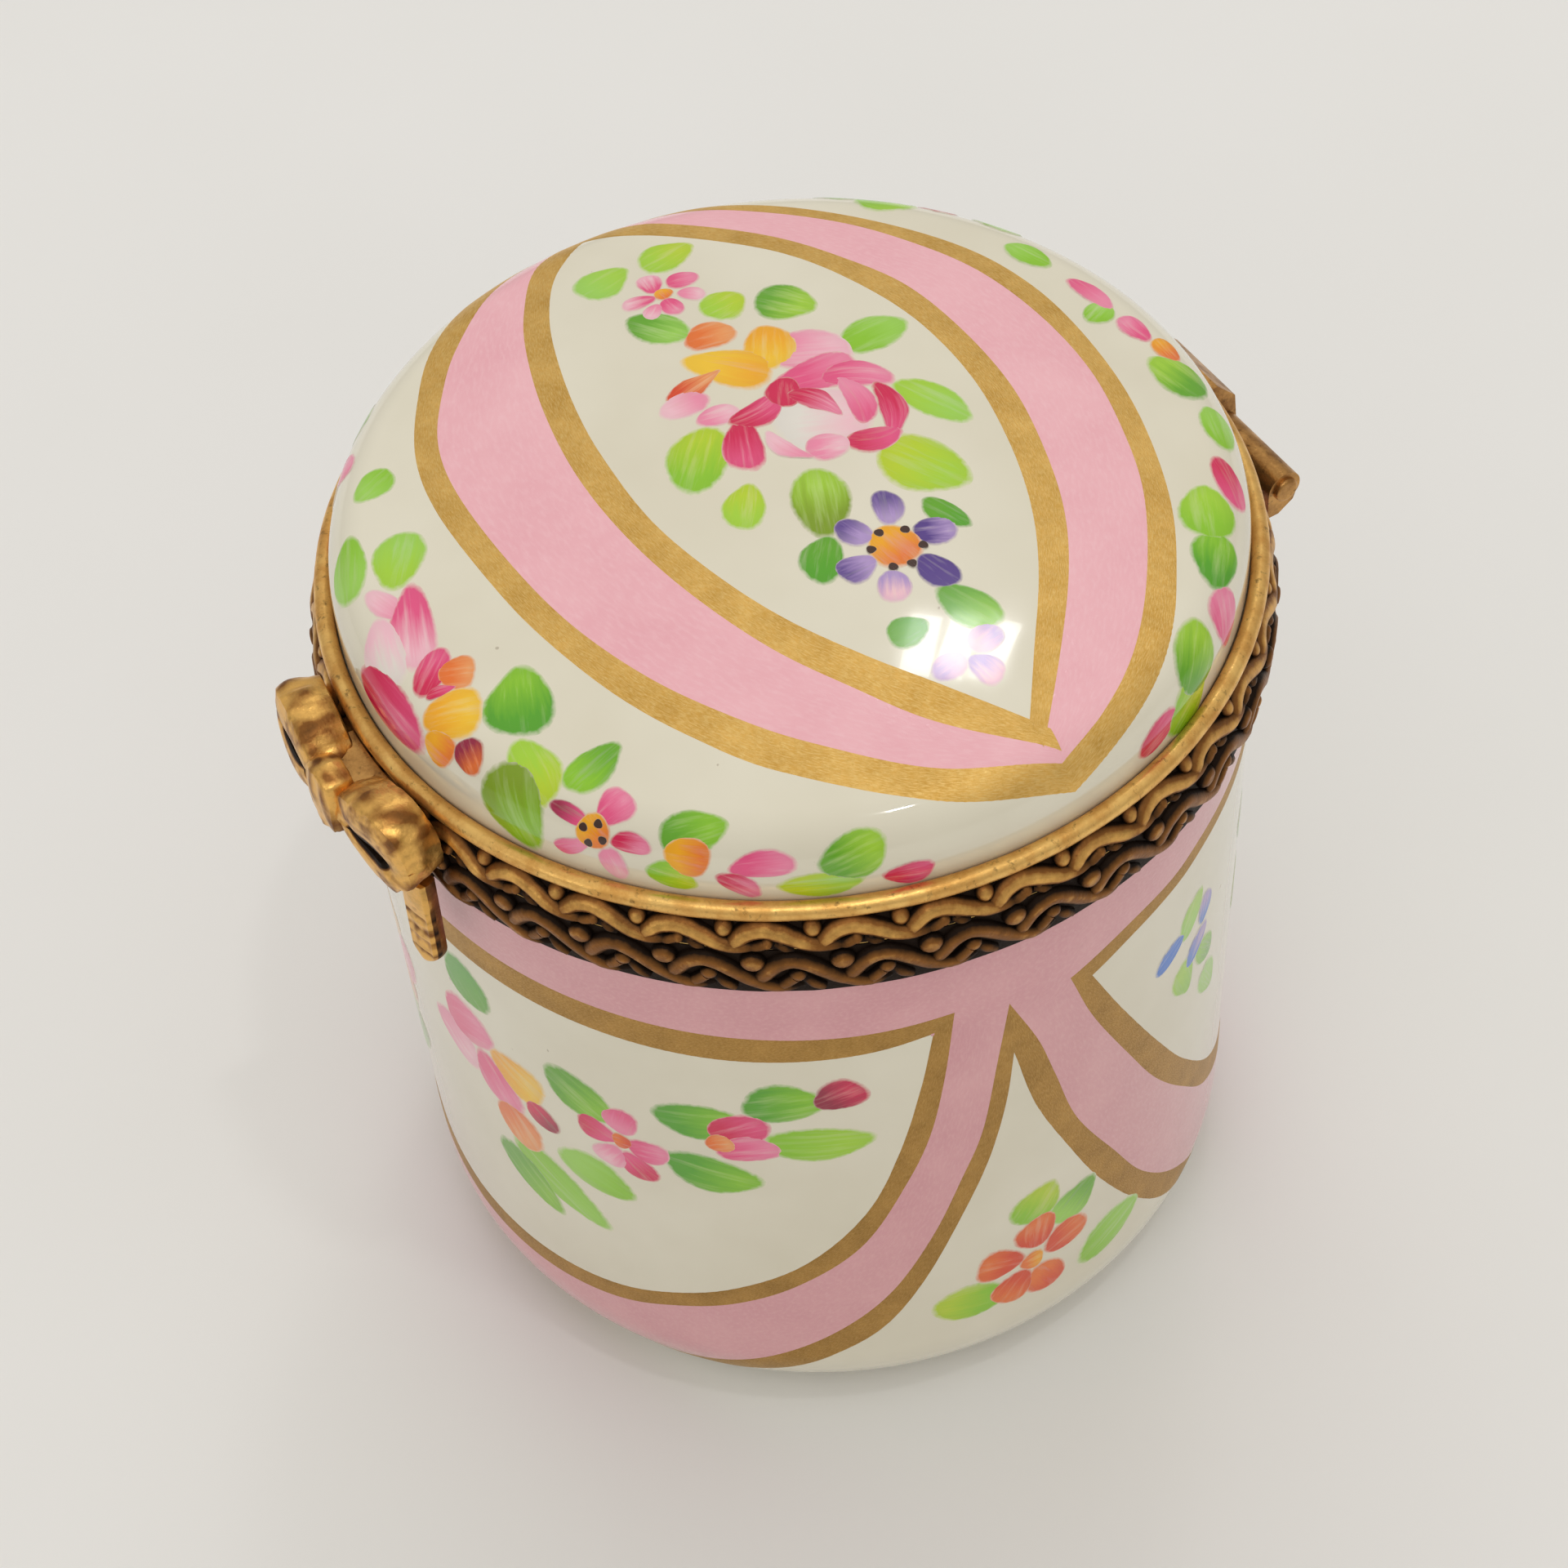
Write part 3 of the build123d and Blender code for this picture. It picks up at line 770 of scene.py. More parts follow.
def makeTemplate():  # one round dab; every stroke is a copy of it, stretched and laid down
    letGo()
    bpy.ops.mesh.primitive_grid_add(x_subdivisions=18, y_subdivisions=18, size=2, location=(0, 0, 0))
    dab = bpy.context.object
    dab.name = "dabTemplate"
    for vertex in dab.data.vertices:
        x, y = vertex.co.x, vertex.co.y
        vertex.co.x = x * math.sqrt(1 - y * y / 2)
        vertex.co.y = y * math.sqrt(1 - x * x / 2)
    uv = dab.data.uv_layers["UVMap"].data
    for loop in dab.data.loops:
        spot = dab.data.vertices[loop.vertex_index].co
        uv[loop.index].uv = (spot.y * 0.5 + 0.5, spot.x * 0.5 + 0.5)
    dab.data.color_attributes.new("firstTint", "FLOAT_COLOR", "POINT")
    dab.data.color_attributes.new("secondTint", "FLOAT_COLOR", "POINT")
    return dab


dabTemplate = makeTemplate()
chance = random.Random(7)
# The faded rim of a stroke takes some of its length and width
strokeShape = {"longer": 1.12, "wider": 1.24, "rim": 0.1, "lap": 0.7}


def brush(surface, scaleX, height, tones, x, y, turn, long, wide, bend=0.0, thin=0.6):
    kind, first, second = tones.split()
    stroke = twinOf(dabTemplate, kind)
    angle = math.radians(turn)
    wobble, phase = chance.uniform(0.03, 0.09), chance.uniform(0, 6)
    lift = paintLift["stroke"] + height
    long, wide = long * strokeShape["longer"], wide * strokeShape["wider"]
    for vertex in stroke.data.vertices:
        a, b = vertex.co.x, vertex.co.y
        reach = min(1.0, math.hypot(a, b))
        about = math.atan2(b, a)
        grow = 1 + wobble * math.sin(3 * about + phase) * reach
        if kind == "leaf":
            b *= 1 - 0.26 * max(a, 0) ** 1.6 - 0.06 * max(-a, 0) ** 2
        if kind == "petal":
            b *= 0.72 + 0.28 * (a + 1) / 2
        if kind == "tail":
            b *= 1 - 0.6 * max(a, 0) - 0.15 * max(-a, 0)
        a, b = a * grow, b * grow
        across = b * wide / 2 + bend * (a * a - 0.35)
        along = a * long / 2
        dx = along * math.cos(angle) - across * math.sin(angle)
        dy = along * math.sin(angle) + across * math.cos(angle)
        raised = lift * min(1.0, (1 - reach) / strokeShape["rim"])
        if reach > 0.985:
            raised = paintLift["strokeEdge"]
        vertex.co = surface(x + dx * scaleX, y + dy, raised)
    for name, tint, extra in (("firstTint", first, chance.random()), ("secondTint", second, thin)):
        colour = (*tints[tint][:3], extra)
        data = stroke.data.color_attributes[name].data
        data.foreach_set("color", colour * len(data))
    return stroke


degreesPerMm = 180 / math.pi / 23.5  # round the cup, half way up
cupBrush = {"longer": 1.1, "fuller": 1.4}


def paintStrokes(surface, scaleX, strokes, name, under, step):  # each stroke lies a hair above the one before
    lap = strokeShape["lap"]
    made = [brush(surface, scaleX, (under + lap * i) * step, *stroke) for i, stroke in enumerate(strokes)]
    return joinUp(made, name)


# Strokes: kind with its colours at the start and the end, place, turn, length, width, and for some a bend.
# Lid, middle panel
lensFlowers = {
    "roseLeaves": [
        ("leaf moss fresh", -10.3, 6.5, 35, 3.2, 2.6), ("leaf leaf mint", -5.5, 8.9, 93, 3.8, 2.3),
        ("leaf fresh mint", 0.5, 8.6, 22, 4.5, 2.0), ("leaf lime fresh", 4.1, 5.6, 26, 4.8, 3.2),
        ("leaf olive fresh", 3.5, 0, 156, 4.5, 2.6), ("leaf leaf lime", -2.5, -3.4, 137, 4.5, 2.8),
        ("leaf fresh lime", 1.7, -3.3, 143, 2.9, 1.9), ("leaf moss mint", -12.4, 0.1, 28, 3.6, 2.1),
        ("leaf fresh lime", -12, 3.8, 96, 2.4, 2.2),
    ],
    "farLeaves": [
        ("leaf mint fresh", -17.8, -0.2, 98, 3, 2.3), ("leaf fresh lime", -17.7, 3.6, 98, 3.1, 2.2),
    ],
    "rose": [
        ("dab white blush", -1.3, 3.2, 68, 4.8, 4.2), ("petal pink blush", -6.2, 5.4, 60, 4.2, 3.2),
        ("petal yellow lemon", -7.6, 3.9, -32, 3.4, 2.8), ("petal lemon yellow", -7.4, 1.4, 38, 4.6, 2.8),
        ("dab orange peach", -10.2, 1.9, 78, 2.6, 1.9), ("tail rust peach", -7.2, -0.9, 100, 3.4, 1.3),
        ("petal blush pink", -6.3, -2.0, 85, 2.6, 1.8), ("petal pink blush", -4.6, -1.0, 77, 2.2, 1.5),
        ("petal rose pink", -4.4, 4.9, 81, 4.2, 2.6, 0.2), ("petal rose pink", -3.2, 6.3, 57, 3.6, 2.0, -0.4),
        ("petal pink rose", -1.6, 5.4, -10, 3.6, 1.5, -0.3), ("petal magenta rose", -2, -1.1, -25, 3.6, 2.1),
        ("petal magenta rose", -3.6, 0.7, 95, 3.0, 1.8, 0.3), ("dab magenta magenta", -4.1, 2.6, -30, 2.2, 1.6),
        ("tail magenta pink", -2.6, 3.6, 25, 3.2, 1.3, -0.3), ("tail magenta rose", 0.0, 6.3, -24, 4.4, 1.3, -0.7),
        ("petal rose magenta", 1.3, 4.6, -105, 2.8, 1.7, -0.4), ("dab pink blush", 0.5, 2.3, 72, 2.2, 1.6),
        ("tail blush pink", -0.6, 0.6, 20, 3.0, 0.9, 0.4),
    ],
    "smallPink": [
        ("petal rose blush", -16, 1.7, 170, 1.7, 1.3), ("petal rose pink", -15.3, 3.2, 75, 1.7, 1.4),
        ("petal rose blush", -15, 0.4, -100, 1.8, 1.1), ("petal rose pink", -13.6, 1.6, 0, 1.5, 1.2),
        ("petal pink blush", -13.9, 3.0, 40, 1.5, 1.1), ("petal pink blush", -13.8, 0.6, -50, 1.3, 1.0),
        ("dab yellow orange", -14.8, 1.8, 0, 0.9, 0.9),
    ],
    "daisyLeaves": [
        ("leaf dark moss", 6.8, -2, 140, 2.9, 1.9), ("leaf moss dark", 7.5, 4.7, 23, 2.7, 1.3),
        ("leaf moss leaf", 13.1, 2.4, 23, 3.5, 2.0), ("leaf moss dark", 12.8, -1, 95, 2.1, 1.6),
    ],
    "daisy": [
        ("petal lilac violet", 5.7, 2.5, 160, 2.2, 1.6), ("petal violet lilac", 8.2, 3.6, 66, 2.1, 1.8),
        ("petal violet violet", 10.4, 2.3, 15, 2.4, 1.8), ("petal lilac blush", 10.1, 0, -28, 1.9, 1.7),
        ("petal lilac violet", 8.2, -0.9, -96, 2.0, 1.7), ("petal lilac violet", 6.2, 0.2, -157, 2.0, 1.6),
        ("dab yellow orange", 8, 1.4, 10, 2.6, 2.3),
    ],
    "lilacFlower": [
        ("petal blush lilac", 15.1, 1.9, 100, 1.9, 1.6), ("petal lilac blush", 16.6, 1, 10, 1.9, 1.6),
        ("petal blush lilac", 15.6, -0.4, -80, 1.9, 1.5),
    ],
}

# Garland along the rim, from the clasp round to the hinge on the +X side
rimFlowers = {
    "claspRose": [
        ("leaf mint leaf", -12, -17.1, 109, 2.4, 1.7), ("leaf fresh mint", -6.5, -18.6, 141, 3.6, 2.4),
        ("leaf mint leaf", -7.9, -21, 149, 4.1, 2), ("tail blush pink", -4.1, -20.6, 12, 3.2, 1.2),
        ("petal rose blush", -2, -20.3, -25, 5.3, 2.4), ("petal blush white", -1.8, -22.2, -20, 4, 2.5),
        ("petal magenta rose", 0.4, -23.8, 0, 6.1, 2.6), ("petal magenta rose", 1, -20.9, 127, 2.8, 1.7),
        ("dab orange peach", 1.9, -19.9, 58, 1.8, 1.8), ("petal yellow lemon", 3.8, -21.3, 59, 3, 2.8),
        ("dab yellow orange", 4.6, -22.9, 11, 2, 1.5), ("tail magenta rose", 2.3, -21.1, 72, 1.5, 0.6),
        ("dab wine orange", 6.2, -21.9, -17, 1.8, 1.4),
    ],
    "claspLeaves": [
        ("leaf dark leaf", 5.4, -18.4, 154, 3.9, 3), ("leaf fresh lime", 9.2, -19.9, -9, 3.6, 2.3),
        ("leaf olive leaf", 9.7, -22, -35, 4.6, 3.2), ("leaf leaf moss", 10.8, -17.5, 100, 3.2, 1.8),
    ],
    "pinkFlower": [
        ("petal rose pink", 13.2, -17.8, 87, 1.9, 1.8), ("petal rose wine", 12, -19.7, -159, 2.2, 0.9),
        ("petal pink rose", 13.1, -21, -119, 2.2, 1), ("petal magenta pink", 15, -18.3, 40, 2, 1.1),
        ("petal pink blush", 15.2, -20, -30, 2, 1.5), ("dab yellow orange", 13.4, -19.4, 0, 1.7, 1.6),
    ],
    "seamBuds": [
        ("leaf moss leaf", 16.5, -15.6, 68, 3.2, 2), ("leaf leaf lime", 17.6, -18, 30, 2.6, 1.6),
        ("dab yellow orange", 17.3, -16.5, 43, 2.2, 1.9), ("petal rose pink", 19.7, -13.8, 62, 3.2, 1.5),
        ("petal magenta pink", 20, -15.5, 24, 2.4, 1.4), ("leaf lime mint", 22.4, -12, 63, 4.2, 1.5),
        ("leaf moss fresh", 21.8, -9.8, 85, 3.3, 2.3), ("petal magenta rose", 24.3, -7.9, 68, 2.6, 1.5),
    ],
    "hingeSideBuds": [
        ("petal magenta rose", 23.8, 7.5, 119, 3.2, 1.8), ("leaf leaf lime", 23, 10.3, 141, 3.8, 2.8),
        ("leaf moss fresh", 20.8, 10.9, 150, 3.8, 2.7), ("petal rose pink", 19.3, 14, 176, 2.9, 2.5),
        ("leaf dark leaf", 16.3, 14.9, 142, 3.4, 2.3), ("leaf leaf fresh", 13.7, 16.2, 152, 3.4, 2.6),
        ("petal rose magenta", 12.5, 18.6, 171, 3.3, 1.7), ("leaf leaf mint", 8.9, 20.5, 163, 3, 1.8),
        ("leaf moss fresh", 5, 20.7, -168, 3.6, 2.2), ("dab orange yellow", 2.9, 21.4, 179, 1.9, 1.1),
        ("petal rose pink", 0.8, 20.9, -175, 2.2, 1.4), ("leaf leaf mint", -1.1, 20, 116, 1.9, 1.4),
        ("petal pink rose", -2.6, 20.6, -171, 3.1, 1.2), ("leaf leaf mint", -7.1, 19.6, -162, 2.8, 1.4),
    ],
}

# Cup, where the place is degrees round and height from the seam
cupFlowers = {
    "claspRose": [
        ("leaf dark moss", -80, -12.9, -55, 3.4, 2.2), ("petal pink blush", -85.4, -19.6, -30, 3.6, 2.4),
        ("petal rose pink", -82, -17, 20, 3.6, 2.6), ("petal rose pink", -77.6, -20.6, -60, 3.8, 2.2),
        ("petal yellow lemon", -73, -18.6, -30, 3.4, 2.4), ("petal orange peach", -74.6, -23.6, -60, 3.2, 2.3),
        ("dab magenta wine", -69.6, -21, -41, 2.1, 1.2),
    ],
    "fallingLeaves": [
        ("leaf moss leaf", -62.6, -16.9, -36, 4, 2.1), ("leaf leaf mint", -69, -26.9, -36, 6.4, 2),
        ("leaf moss leaf", -74.4, -28.2, -42, 4.8, 1.8), ("leaf mint leaf", -62, -24, -18, 4.2, 2),
    ],
    "smallPink": [
        ("petal rose magenta", -60.6, -19.4, 165, 2.1, 1.5), ("petal pink rose", -56.8, -17.8, 75, 2, 1.5),
        ("petal rose pink", -53.4, -19.9, 5, 2.1, 1.5), ("petal rose magenta", -55.2, -21.6, -50, 2.2, 1.4),
        ("petal pink blush", -59, -21.3, -125, 1.9, 1.4), ("dab orange rust", -57, -19.6, 0, 1, 0.8),
    ],
    "budSpray": [
        ("leaf dark leaf", -46, -15.9, 8, 4.2, 1.9), ("leaf dark leaf", -35, -13.7, 14, 3.8, 2),
        ("leaf dark leaf", -45, -20.6, -12, 4.6, 2), ("leaf leaf fresh", -31, -17.3, 2, 5, 1.8),
        ("petal magenta rose", -41, -16.3, 30, 3, 2), ("petal rose pink", -40, -17.9, 16, 3, 1.6),
        ("dab orange peach", -43.4, -17.6, 20, 1.4, 1), ("petal wine magenta", -28, -13.1, 27, 2.5, 1.8),
    ],
    "orangeFlower": [
        ("leaf leaf lime", -2, -28.2, 57, 3, 2), ("leaf mint moss", 4, -30, 42, 3.2, 1.8),
        ("leaf leaf mint", 11, -35.5, 23, 4.4, 2), ("leaf leaf lime", -12, -35.1, 171, 4, 2),
        ("petal rust orange", -7.6, -32.5, 160, 2.6, 1.9), ("petal rust orange", -2, -30.9, 85, 2.6, 1.9),
        ("petal rust orange", 2.8, -32.7, 20, 2.6, 1.9), ("petal orange rust", -0.6, -35.7, -60, 2.5, 1.9),
        ("petal rust orange", -5.6, -35.3, -120, 2.5, 1.9), ("dab orange yellow", -2.6, -33.5, 0, 1.3, 1),
    ],
    "hingeSpray": [
        ("leaf leaf moss", 51, -16.6, 160, 3.8, 1.7), ("leaf mint leaf", 52, -22.2, 200, 3.6, 1.6),
        ("leaf fresh leaf", 73, -15.6, 20, 3.6, 1.6), ("leaf leaf dark", 74, -21.8, -20, 3.8, 1.7),
        ("leaf moss leaf", 85, -25, -70, 3.4, 1.6), ("petal rose pink", 62, -16.4, 100, 2.2, 1.6),
        ("petal pink blush", 66.8, -18, 20, 2.2, 1.6), ("petal rose magenta", 65, -20.9, -50, 2.2, 1.6),
        ("petal pink rose", 59.4, -21.1, -125, 2.2, 1.6), ("petal rose pink", 57.4, -18.2, 165, 2.2, 1.6),
        ("dab orange yellow", 62, -19, 0, 1.3, 1), ("petal yellow lemon", 85.6, -18.6, 10, 2.4, 1.5),
        ("dab wine magenta", 86.4, -21.4, -20, 1.6, 1),
    ],
    "blueSprig": [
        ("leaf mint fresh", 26, -13.4, 60, 2.8, 1.3), ("leaf fresh leaf", 25, -18.4, -70, 3, 1.3),
        ("leaf mint leaf", 33, -22, -60, 3, 1.3), ("leaf leaf moss", 31, -18.6, -50, 2.6, 1.2),
        ("petal blue blue", 21, -14.6, 200, 2.3, 1.1), ("petal blue lilac", 28, -16.9, 39, 2.4, 1.2),
        ("petal blue lilac", 30, -14.5, 80, 2, 1.1),
    ],
}


layerStep = {"lens": 0.0025, "rim": 0.0055, "cup": 0.0024}  # mm from one stroke up to the next
eyes = {  # dots in the middle of a flower, and their size
    "daisy": ([(6.9, 1.2), (7.4, 2.4), (8.7, 2.6), (9.4, 1.5), (9.1, 0.6), (7.6, 0.3)], 0.5),
    "pinkFlower": ([(12.9, -19.6), (13.3, -18.9), (14, -19.3), (13.6, -20)], 0.45),
}


def sprinkle(spots, size):
    return [brush(onLid, 1.0, 0.05, "dab brown brown", x, y, 20, size, size * 0.85, thin=0.0) for x, y in spots]


def paintOnLid(strokes, flower, name, under, step):
    made = paintStrokes(onLid, 1.0, strokes, name, under, step)
    if flower in eyes:
        made = joinUp([made] + sprinkle(*eyes[flower]), name)
    shadeLikeGlaze(made, lidLean)
    finishPiece(made, "lid", enamelFinish)


def paintOnCup(strokes, name, under):
    made = paintStrokes(onCup, degreesPerMm, strokes, name, under, layerStep["cup"])
    shadeLikeGlaze(made, cupLean)
    finishPiece(made, "base", enamelFinish)


def acrossTo(strokes, shift, nearest):  # the same strokes on the far side, past the ones already seen
    return [(tones, shift - x, y, 180 - turn, *rest) for tones, x, y, turn, *rest in strokes if x > nearest]


def paintFlowers():
    for i, (name, strokes) in enumerate(lensFlowers.items()):
        paintOnLid(strokes, name, name + "Lens", i * 2, layerStep["lens"])
    for i, (name, strokes) in enumerate(rimFlowers.items()):
        paintOnLid(strokes, name, name + "Rim", i % 3, layerStep["rim"])
        far = acrossTo(strokes, -2, 7 if name == "hingeSideBuds" else 13)
        if far:
            paintOnLid(far, "", name + "RimFar", i % 3, layerStep["rim"])
    for i, (name, listed) in enumerate(cupFlowers.items()):
        strokes = []
        for tones, x, y, turn, long, wide, *rest in listed:
            strokes.append((tones, x, y, turn, long * cupBrush["longer"], wide * cupBrush["fuller"], *rest))
        paintOnCup(strokes, name + "Cup", i % 3)
        far = acrossTo(strokes, -180, -78)
        if far:
            paintOnCup(far, name + "CupFar", i % 3)


paintFlowers()
bpy.data.objects.remove(dabTemplate)
print("flowers painted")


braidShape = {
    "units": 36,
    "fineness": 3,  # bevel steps of each strand
    "relief": 0.55,
    "uneven": 0.07,
}


def clamp(value, low=0.0, high=1.0):
    return max(low, min(high, value))


# The worn high places also take a painted highlight in the brass finish.
def setRelief(piece, heights):  # 0 in the recesses, 1 on the worn high places
    tag = piece.data.attributes.new("relief", "FLOAT", "POINT")
    tag.data.foreach_set("value", [clamp(height) for height in heights])


def castStrand(points):  # along, height, sink and thickness at each point
    letGo()
    bpy.ops.curve.primitive_nurbs_path_add(location=(0, 0, 0))
    strand = bpy.context.object
    path = strand.data
    path.splines.clear()
    spline = path.splines.new("POLY")
    places, _ = curveThrough([Vector((a, h, s, t)) for a, h, s, t in points], 22)
    spline.points.add(len(places) - 1)
    for point, (a, h, s, t) in zip(spline.points, places):
        point.co = (a, h, -max(s, t), 1)  # the back of each strand lies on the same skin
        point.radius = t
    path.dimensions = "3D"
    path.bevel_depth = 1.0
    path.bevel_resolution = braidShape["fineness"]
    path.use_fill_caps = True
    pickOnly(strand)
    bpy.ops.object.convert(target="MESH")
    return bpy.context.object


def castBall(along, height, sink, radius, flat=0.8):
    letGo()
    bpy.ops.mesh.primitive_uv_sphere_add(segments=14, ring_count=9, radius=radius, location=(along, height, -sink))
    ball = bpy.context.object
    editAll(ball)
    bpy.ops.transform.resize(value=(1.0, 0.92, flat), center_override=(along, height, -sink))
    editDone()
    settle(ball)
    return ball


def wrapUnit(unit, outerAt):  # flat relief (along, height, out) is bent round the ring
    for vertex in unit.data.vertices:
        along, height, out = vertex.co
        radius = outerAt(height) + min(out, 0.0)
        angle = along / rimRadius
        vertex.co = Vector((radius * math.cos(angle), radius * math.sin(angle), seam + height)) * mm


def ringOfUnits(unit, count, turnBy, name):
    parts = [unit]
    for i in range(1, count):
        part = twinOf(unit, name)
        part.data.transform(Matrix.Rotation(math.tau * i / count, 4, "Z"))
        parts.append(part)
    ring = joinUp(parts, name)
    ring.data.transform(Matrix.Rotation(math.radians(turnBy), 4, "Z"))
    return ring


def makeBraid(name, outerAt, groundAt, strandPath, balls, turnBy, ground):
    parts = [castStrand(path) for path in strandPath]
    parts += [castBall(*ball) for ball in balls]
    unit = joinUp(parts, name)
    wrapUnit(unit, outerAt)
    ring = ringOfUnits(unit, braidShape["units"], turnBy, name)
    bed = throwOnWheel(name + "Bed", ground, steps=180)
    whole = joinUp([ring, bed], name)
    faceOut(whole, weld=False)
    for vertex in whole.data.vertices:  # a worn casting is never quite even
        uneven = noise.noise(vertex.co * 700) + 0.6 * noise.noise(vertex.co * 1900)
        vertex.co.xy *= 1 - braidShape["uneven"] * (0.5 + 0.5 * clamp(uneven, -1.0)) / rimRadius
    smoothBy(whole, 50)
    spots = [vertex.co / mm for vertex in whole.data.vertices]
    depths = [math.hypot(spot.x, spot.y) - groundAt(spot.z - seam) for spot in spots]
    setRelief(whole, [depth / braidShape["relief"] for depth in depths])
    return whole


def upperOuter(height):
    return rimRadius - 0.4375 * (height - 0.05)


def upperGround(height):
    return upperOuter(height) - 0.55


def lowerOuter(height):
    return rimRadius - 0.0746 * (-0.05 - height)


def lowerGround(height):
    return lowerOuter(height) - 0.5


def castUpper():
    strands = [
        [
            (0.0, 0.4, 0.52, 0.34), (0.3, 0.66, 0.46, 0.46), (0.85, 1.04, 0.44, 0.5), (1.6, 1.2, 0.44, 0.5),
            (2.4, 1.04, 0.44, 0.48), (3.2, 0.72, 0.42, 0.44), (4.0, 0.44, 0.4, 0.36), (4.9, 0.28, 0.42, 0.28),
            (5.7, 0.24, 0.5, 0.18),
        ],
        [(0.8, 0.22, 0.5, 0.18), (1.3, 0.3, 0.42, 0.24), (1.75, 0.48, 0.38, 0.24)],
        [(2.2, 0.42, 0.48, 0.16), (2.65, 0.24, 0.42, 0.2), (3.1, 0.14, 0.46, 0.14)],
    ]
    balls = [(4.05, 1.24, 0.42, 0.5), (1.8, 0.5, 0.36, 0.3), (2.5, 0.5, 0.42, 0.2)]
    bed = [
        (23.76, seam + 1.6), (23.8, seam + 1.62), (24.0, seam + 1.2), (24.47, seam + 0.12),
        (24.47, seam + 0.06), (24.44, seam + 0.06), (23.76, seam + 1.6),
    ]
    return makeBraid("upperBraid", upperOuter, upperGround, strands, balls, -29, bed)


def castLower():
    strands = [
        [
            (0.0, -2.25, 0.52, 0.4), (0.3, -1.75, 0.46, 0.56), (0.85, -1.08, 0.46, 0.6),
            (1.6, -0.72, 0.46, 0.6), (2.4, -0.98, 0.46, 0.58), (3.2, -1.62, 0.46, 0.56),
            (4.0, -2.25, 0.44, 0.52), (4.9, -2.68, 0.42, 0.44), (5.8, -2.85, 0.46, 0.34),
            (6.5, -2.8, 0.56, 0.2),
        ],
        [(0.7, -2.85, 0.52, 0.28), (1.2, -2.55, 0.42, 0.38), (1.75, -2.0, 0.38, 0.36)],
        [(2.2, -2.1, 0.5, 0.26), (2.65, -2.55, 0.42, 0.34), (3.15, -2.95, 0.42, 0.26)],
    ]
    balls = [(4.1, -0.76, 0.44, 0.66), (1.9, -1.8, 0.36, 0.46)]
    bed = [
        (24.31, seam - 0.06), (24.46, seam - 0.06), (24.44, seam - 1.0), (24.36, seam - 3.3),
        (24.34, seam - 3.38), (24.3, seam - 3.38), (24.3, seam - 0.06), (24.31, seam - 0.06),
    ]
    return makeBraid("lowerBraid", lowerOuter, lowerGround, strands, balls, -26, bed)


finishPiece(castUpper(), "lid", upperReliefFinish, ["upper_gallery"])
finishPiece(castLower(), "base", lowerReliefFinishPaintedShade, ["lower_gallery"])
print("braid cast")


bowShape = {
    "height": seam + 0.6,
    "loopMiddle": 3.75,
    "loopHalf": 3.3,
    "loopRise": 3.25,
    "holeHalf": 1.2,
    "holeRise": 0.22,
    "backRadius": 24.55,
    "faceRadius": 27.3,
    "crinkle": 0.13,
    "knotRadius": 26.6,
    "knotFace": 27.68,
    "knotHalf": 1.36,
    "bend": 26.0,  # radius that the flat bow is bent round
}


def bendOntoRim(piece):  # x along the rim, y out from the axis, z up, all in mm
    for vertex in piece.data.vertices:
        x, y, z = vertex.co
        angle = x / bowShape["bend"]
        vertex.co = Vector((y * math.sin(angle), -y * math.cos(angle), z)) * mm


def castLoop(side):
    s = bowShape
    letGo()
    bpy.ops.mesh.primitive_torus_add(
        major_segments=96, minor_segments=40, major_radius=2.0, minor_radius=1.0, location=(0, 0, 0)
    )
    loop = bpy.context.object
    worn = []
    for vertex in loop.data.vertices:
        x, y, z = vertex.co
        p = math.atan2(y, x)
        q = math.atan2(z, math.hypot(x, y) - 2.0)
        boxy = 1 / max(abs(math.cos(q)), abs(math.sin(q))) ** 0.5
        outward = clamp(math.cos(q) * boxy, -1.0)
        depth = clamp(math.sin(q) * boxy, -1.0)
        pinch = 0.42 + 0.58 * (1 + math.cos(p)) / 2
        outX = s["loopHalf"] * math.cos(p)
        outZ = s["loopRise"] * math.sin(p) * (0.5 + 0.5 * pinch) * (1.0 if math.sin(p) > 0 else 0.92)
        inX = s["holeHalf"] * math.cos(p)
        inZ = s["holeRise"] * math.sin(p) * pinch - 0.35
        t = (outward + 1) / 2  # 0 at the hole, 1 at the loop's outline
        px = inX + (outX - inX) * t
        pz = inZ + (outZ - inZ) * t
        fan = 5 * p + 2.2 * math.sin(2 * p + side)
        fold = math.sin(fan) * 0.3 + noise.noise(Vector((px * 0.9, pz * 0.9, depth * 1.4 + 5 * side))) * 1.2
        fold += noise.noise(Vector((px * 2.6, pz * 2.6, depth * 0.9 + 9 * side))) * 0.6
        dent = s["crinkle"] * fold
        px *= 1 - 0.10 * (0.5 + 0.5 * fold) * t
        pz -= math.copysign(max(0.0, dent + 0.1), math.sin(p)) * t
        radius = (s["backRadius"] + s["faceRadius"]) / 2 + depth * (s["faceRadius"] - s["backRadius"]) / 2
        radius -= 0.16 * (0.5 + 0.5 * math.sin(fan * 0.5 + 1)) * max(0.0, depth)
        height = s["height"] + pz
        vertex.co = (side * (s["loopMiddle"] + px), radius, height)
        worn.append(0.68 + (0.34 * fold if t > 0.4 else 0.0) - (0.95 if t < 0.25 else 0.0))
    bendOntoRim(loop)
    setRelief(loop, worn)
    return loop


